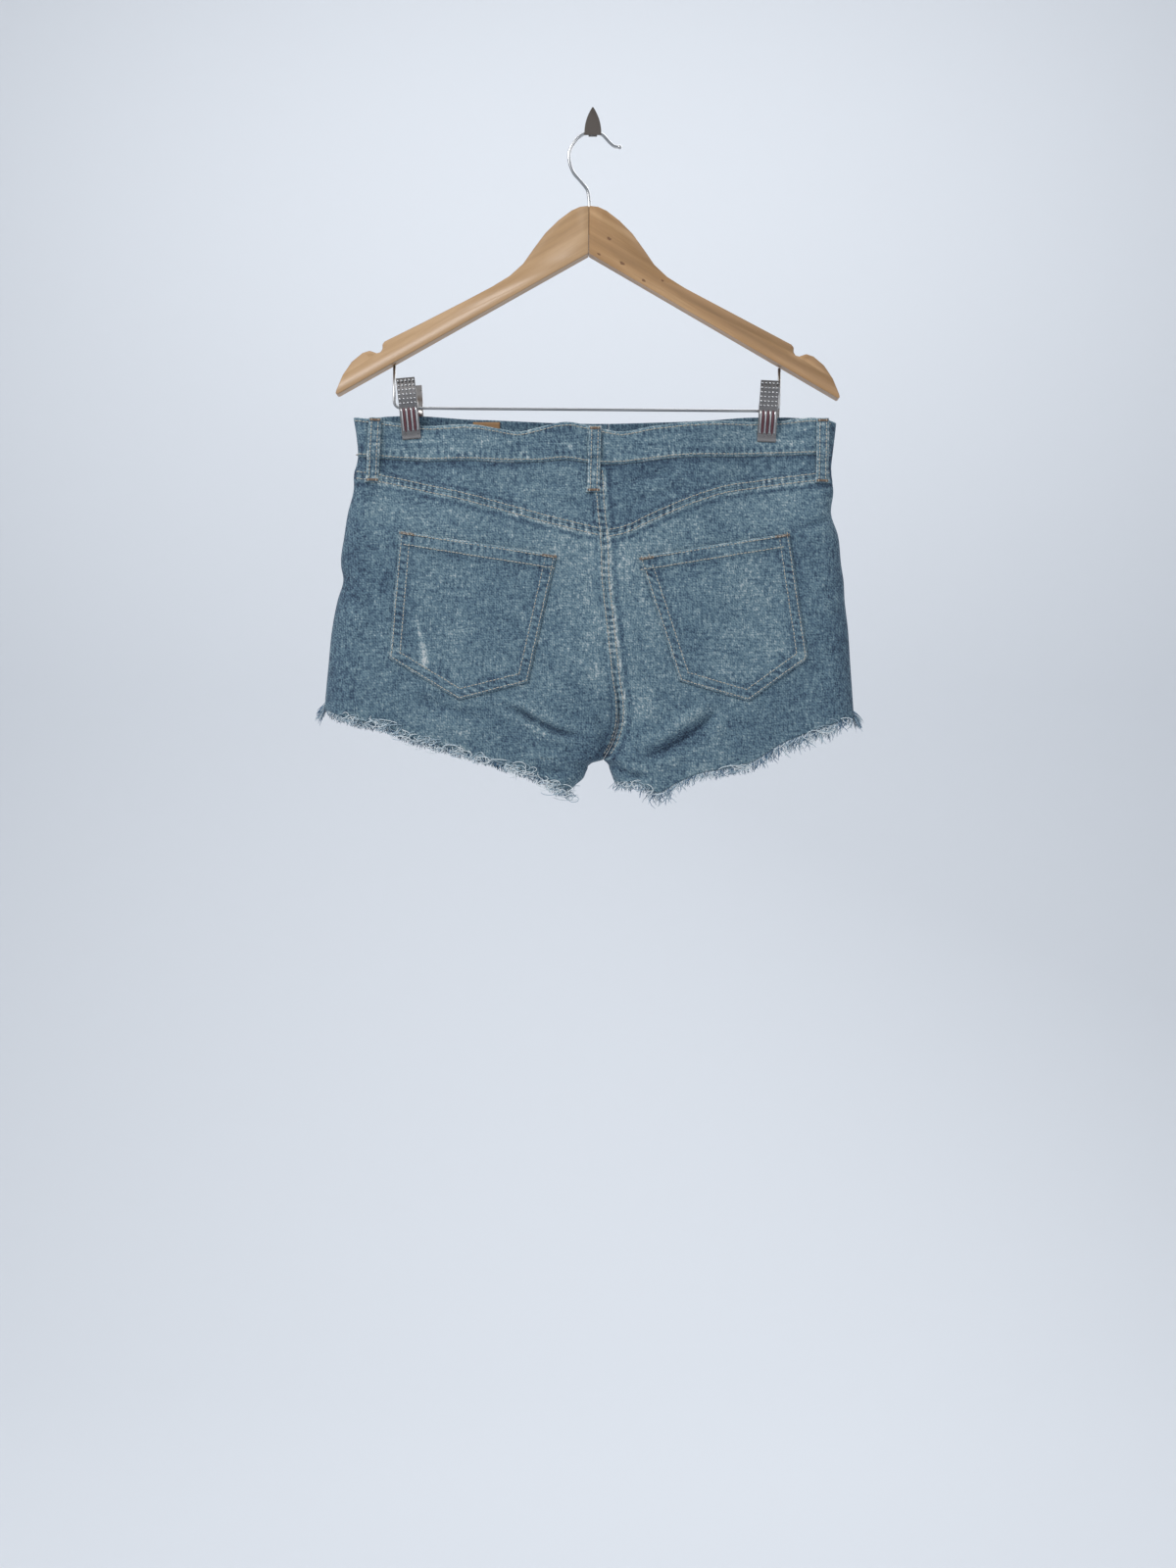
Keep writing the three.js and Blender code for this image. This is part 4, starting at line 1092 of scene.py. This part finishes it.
def clip_details(half, side):
    """Knurled bumps on the upper half of a jaw and upright ribs on its lower half."""
    lean = math.radians(CLIP_LEAN[half])
    x0 = CLIP_X[HALVES.index(half)]
    z0 = HANGER["z"] + BAR_DROP + (HANGER["x"] - x0) * math.sin(math.radians(HANGER["tilt"]))
    shift = FRONT_JAW_SHIFT[half] if side == "front" else 0

    def point(across, up, lift):
        x = (across + shift) * math.cos(lean) + up * math.sin(lean)
        z = -(across + shift) * math.sin(lean) + up * math.cos(lean)
        return surface(x0 + x, float(jaw_face(up)) + lift, z0 + z, side)

    rib_ups = np.linspace(-22, -1.5, 10)
    ribs = [[point(across, up, 0.3) for up in rib_ups] for across in (-6.4, -2.15, 2.15, 6.4)]
    # Dark reddish strips sunk in the grooves between ribs: painted shade and reflection.
    grooves = [[point(across, up, -0.35) for up in rib_ups] for across in (-4.3, 0, 4.3)]
    bumps = []
    for row in range(6):
        for column in range(5):
            across, up = (column - 2) * 3.3, 2.5 + row * 3.7
            bumps.append([point(across + off, up, lift)
                          for off, lift in ((-0.9, 0), (-0.4, 0.35), (0.4, 0.35), (0.9, 0))])
    for name, lines, size, mat in (
        ("ribs", ribs, 1.0, CHROME), ("grooves", grooves, 1.15, GROOVE_SHADE), ("bumps", bumps, 0.85, CHROME)
    ):
        finished(threads(f"clip_{half}_{side}_{name}", lines, size * MM, 10), mat, "steel")


def make_button():
    """A plain shank button with a raised rim, on the waistband's lap."""
    # radius and height, from the face's middle out and back to the shank
    profile = [(2.5, 3.2), (5.2, 3.5), (6.6, 4.0), (7.8, 3.6), (8.4, 2.8), (8.3, 1.9),
               (7.4, 1.3), (2.2, 1.1), (2.1, 0)]
    sides = 48
    turn = full_turn(sides)
    centre = place(np.array(5.0), np.array(-302.0), "front", "left", 1.0)[0]
    rings = [np.stack([radius * np.cos(turn), np.full(sides, height), radius * np.sin(turn)], -1) * MM
             for radius, height in profile]
    button = mesh_object("shank_button", np.concatenate(rings) + centre,
                         tube_faces(0, len(profile), sides))
    finished(outward(button), DULL, "button", "waist_button")


def make_label():
    """The bare woven label inside the front waistband, which shows above the back's edge."""
    x, z = np.meshgrid(np.linspace(-107, -83, 20), np.linspace(-284.0, -300, 8))
    out = half_depth(x, z, "front", "left", 1.75)
    face, back = surface(x, out, z, "front"), surface(x, out - 0.35, z, "front")
    label = finished(shell("inside_label", face, back, np.zeros_like(x)), LABEL, "denim_trim")


def make_wall_hook():
    finished(copy_of("wall_hook", "painted_wall_hook", 0.5 * MM, 3), HOOK_PAINT, "hook_paint", "wall_hook")


# --- stage
def make_stage():
    """A pale sweep: a floor far below that turns up into a backdrop."""
    turn = np.linspace(0, math.pi / 2, 16)
    profile = [(-3.8, 4.5)]
    profile += [(-2.4 - 1.4 * math.cos(a), -0.35 - 1.4 * math.sin(a)) for a in turn]
    profile += [(1.6 + 1.4 * math.sin(a), -0.35 - 1.4 * math.cos(a)) for a in turn]
    profile += [(3.0, 4.5)]
    points, faces = [], []
    for x in (-8, 8):
        points += [(x, y, z) for y, z in profile]
    count = len(profile)
    for i in range(count - 1):
        faces.append([i, i + 1, count + i + 1, count + i])
    sweep = mesh_object("pale_sweep", points, faces)
    sweep.data.materials.append(material("pale paper", (0.62, 0.645, 0.68), 0.95)[0])


def area_light(name, place_at, size, power, target=(0, -0.04, -0.4)):
    data = bpy.data.lights.new(name, "AREA")
    data.shape = "RECTANGLE"
    data.size, data.size_y = size
    data.energy = power
    light = bpy.data.objects.new(name, data)
    bpy.context.scene.collection.objects.link(light)
    light.location = place_at
    light.rotation_euler = (Vector(target) - Vector(place_at)).to_track_quat("-Z", "Y").to_euler()


def make_light():
    world = bpy.data.worlds.new("pale room")
    world.use_nodes = True
    world.node_tree.nodes["Background"].inputs["Color"].default_value = (0.84, 0.88, 0.94, 1)
    world.node_tree.nodes["Background"].inputs["Strength"].default_value = 0.62
    bpy.context.scene.world = world
    area_light("key", (-1.5, -1.5, 1.0), (1.1, 1.1), 38)
    area_light("fill", (1.8, -2.0, 0.1), (1.8, 1.8), 13)
    area_light("behind", (0.9, 1.7, 0.8), (1.6, 1.6), 20)
    area_light("backdrop", (0.0, 0.9, 1.6), (3.5, 0.8), 52, (0, 3.0, -0.9))


def make_camera():
    data = bpy.data.cameras.new("camera")
    data.sensor_width = 36
    data.lens = 38.85
    camera = bpy.data.objects.new("camera", data)
    bpy.context.scene.collection.objects.link(camera)
    camera.location = (-0.0043, -1.550, -0.6074)
    camera.rotation_euler = (math.pi / 2, 0, 0)
    bpy.context.scene.camera = camera
    bpy.context.scene.view_settings.view_transform = "Standard"


make_panels()
make_waistband()
for pocket_half in HALVES:
    make_pocket(pocket_half)
make_belt_loops()
make_front_details()
make_stitches()
make_tacks()
make_fray()
make_arms()
make_wires()
make_clips()
make_button()
make_label()
make_wall_hook()
make_stage()
make_light()
make_camera()
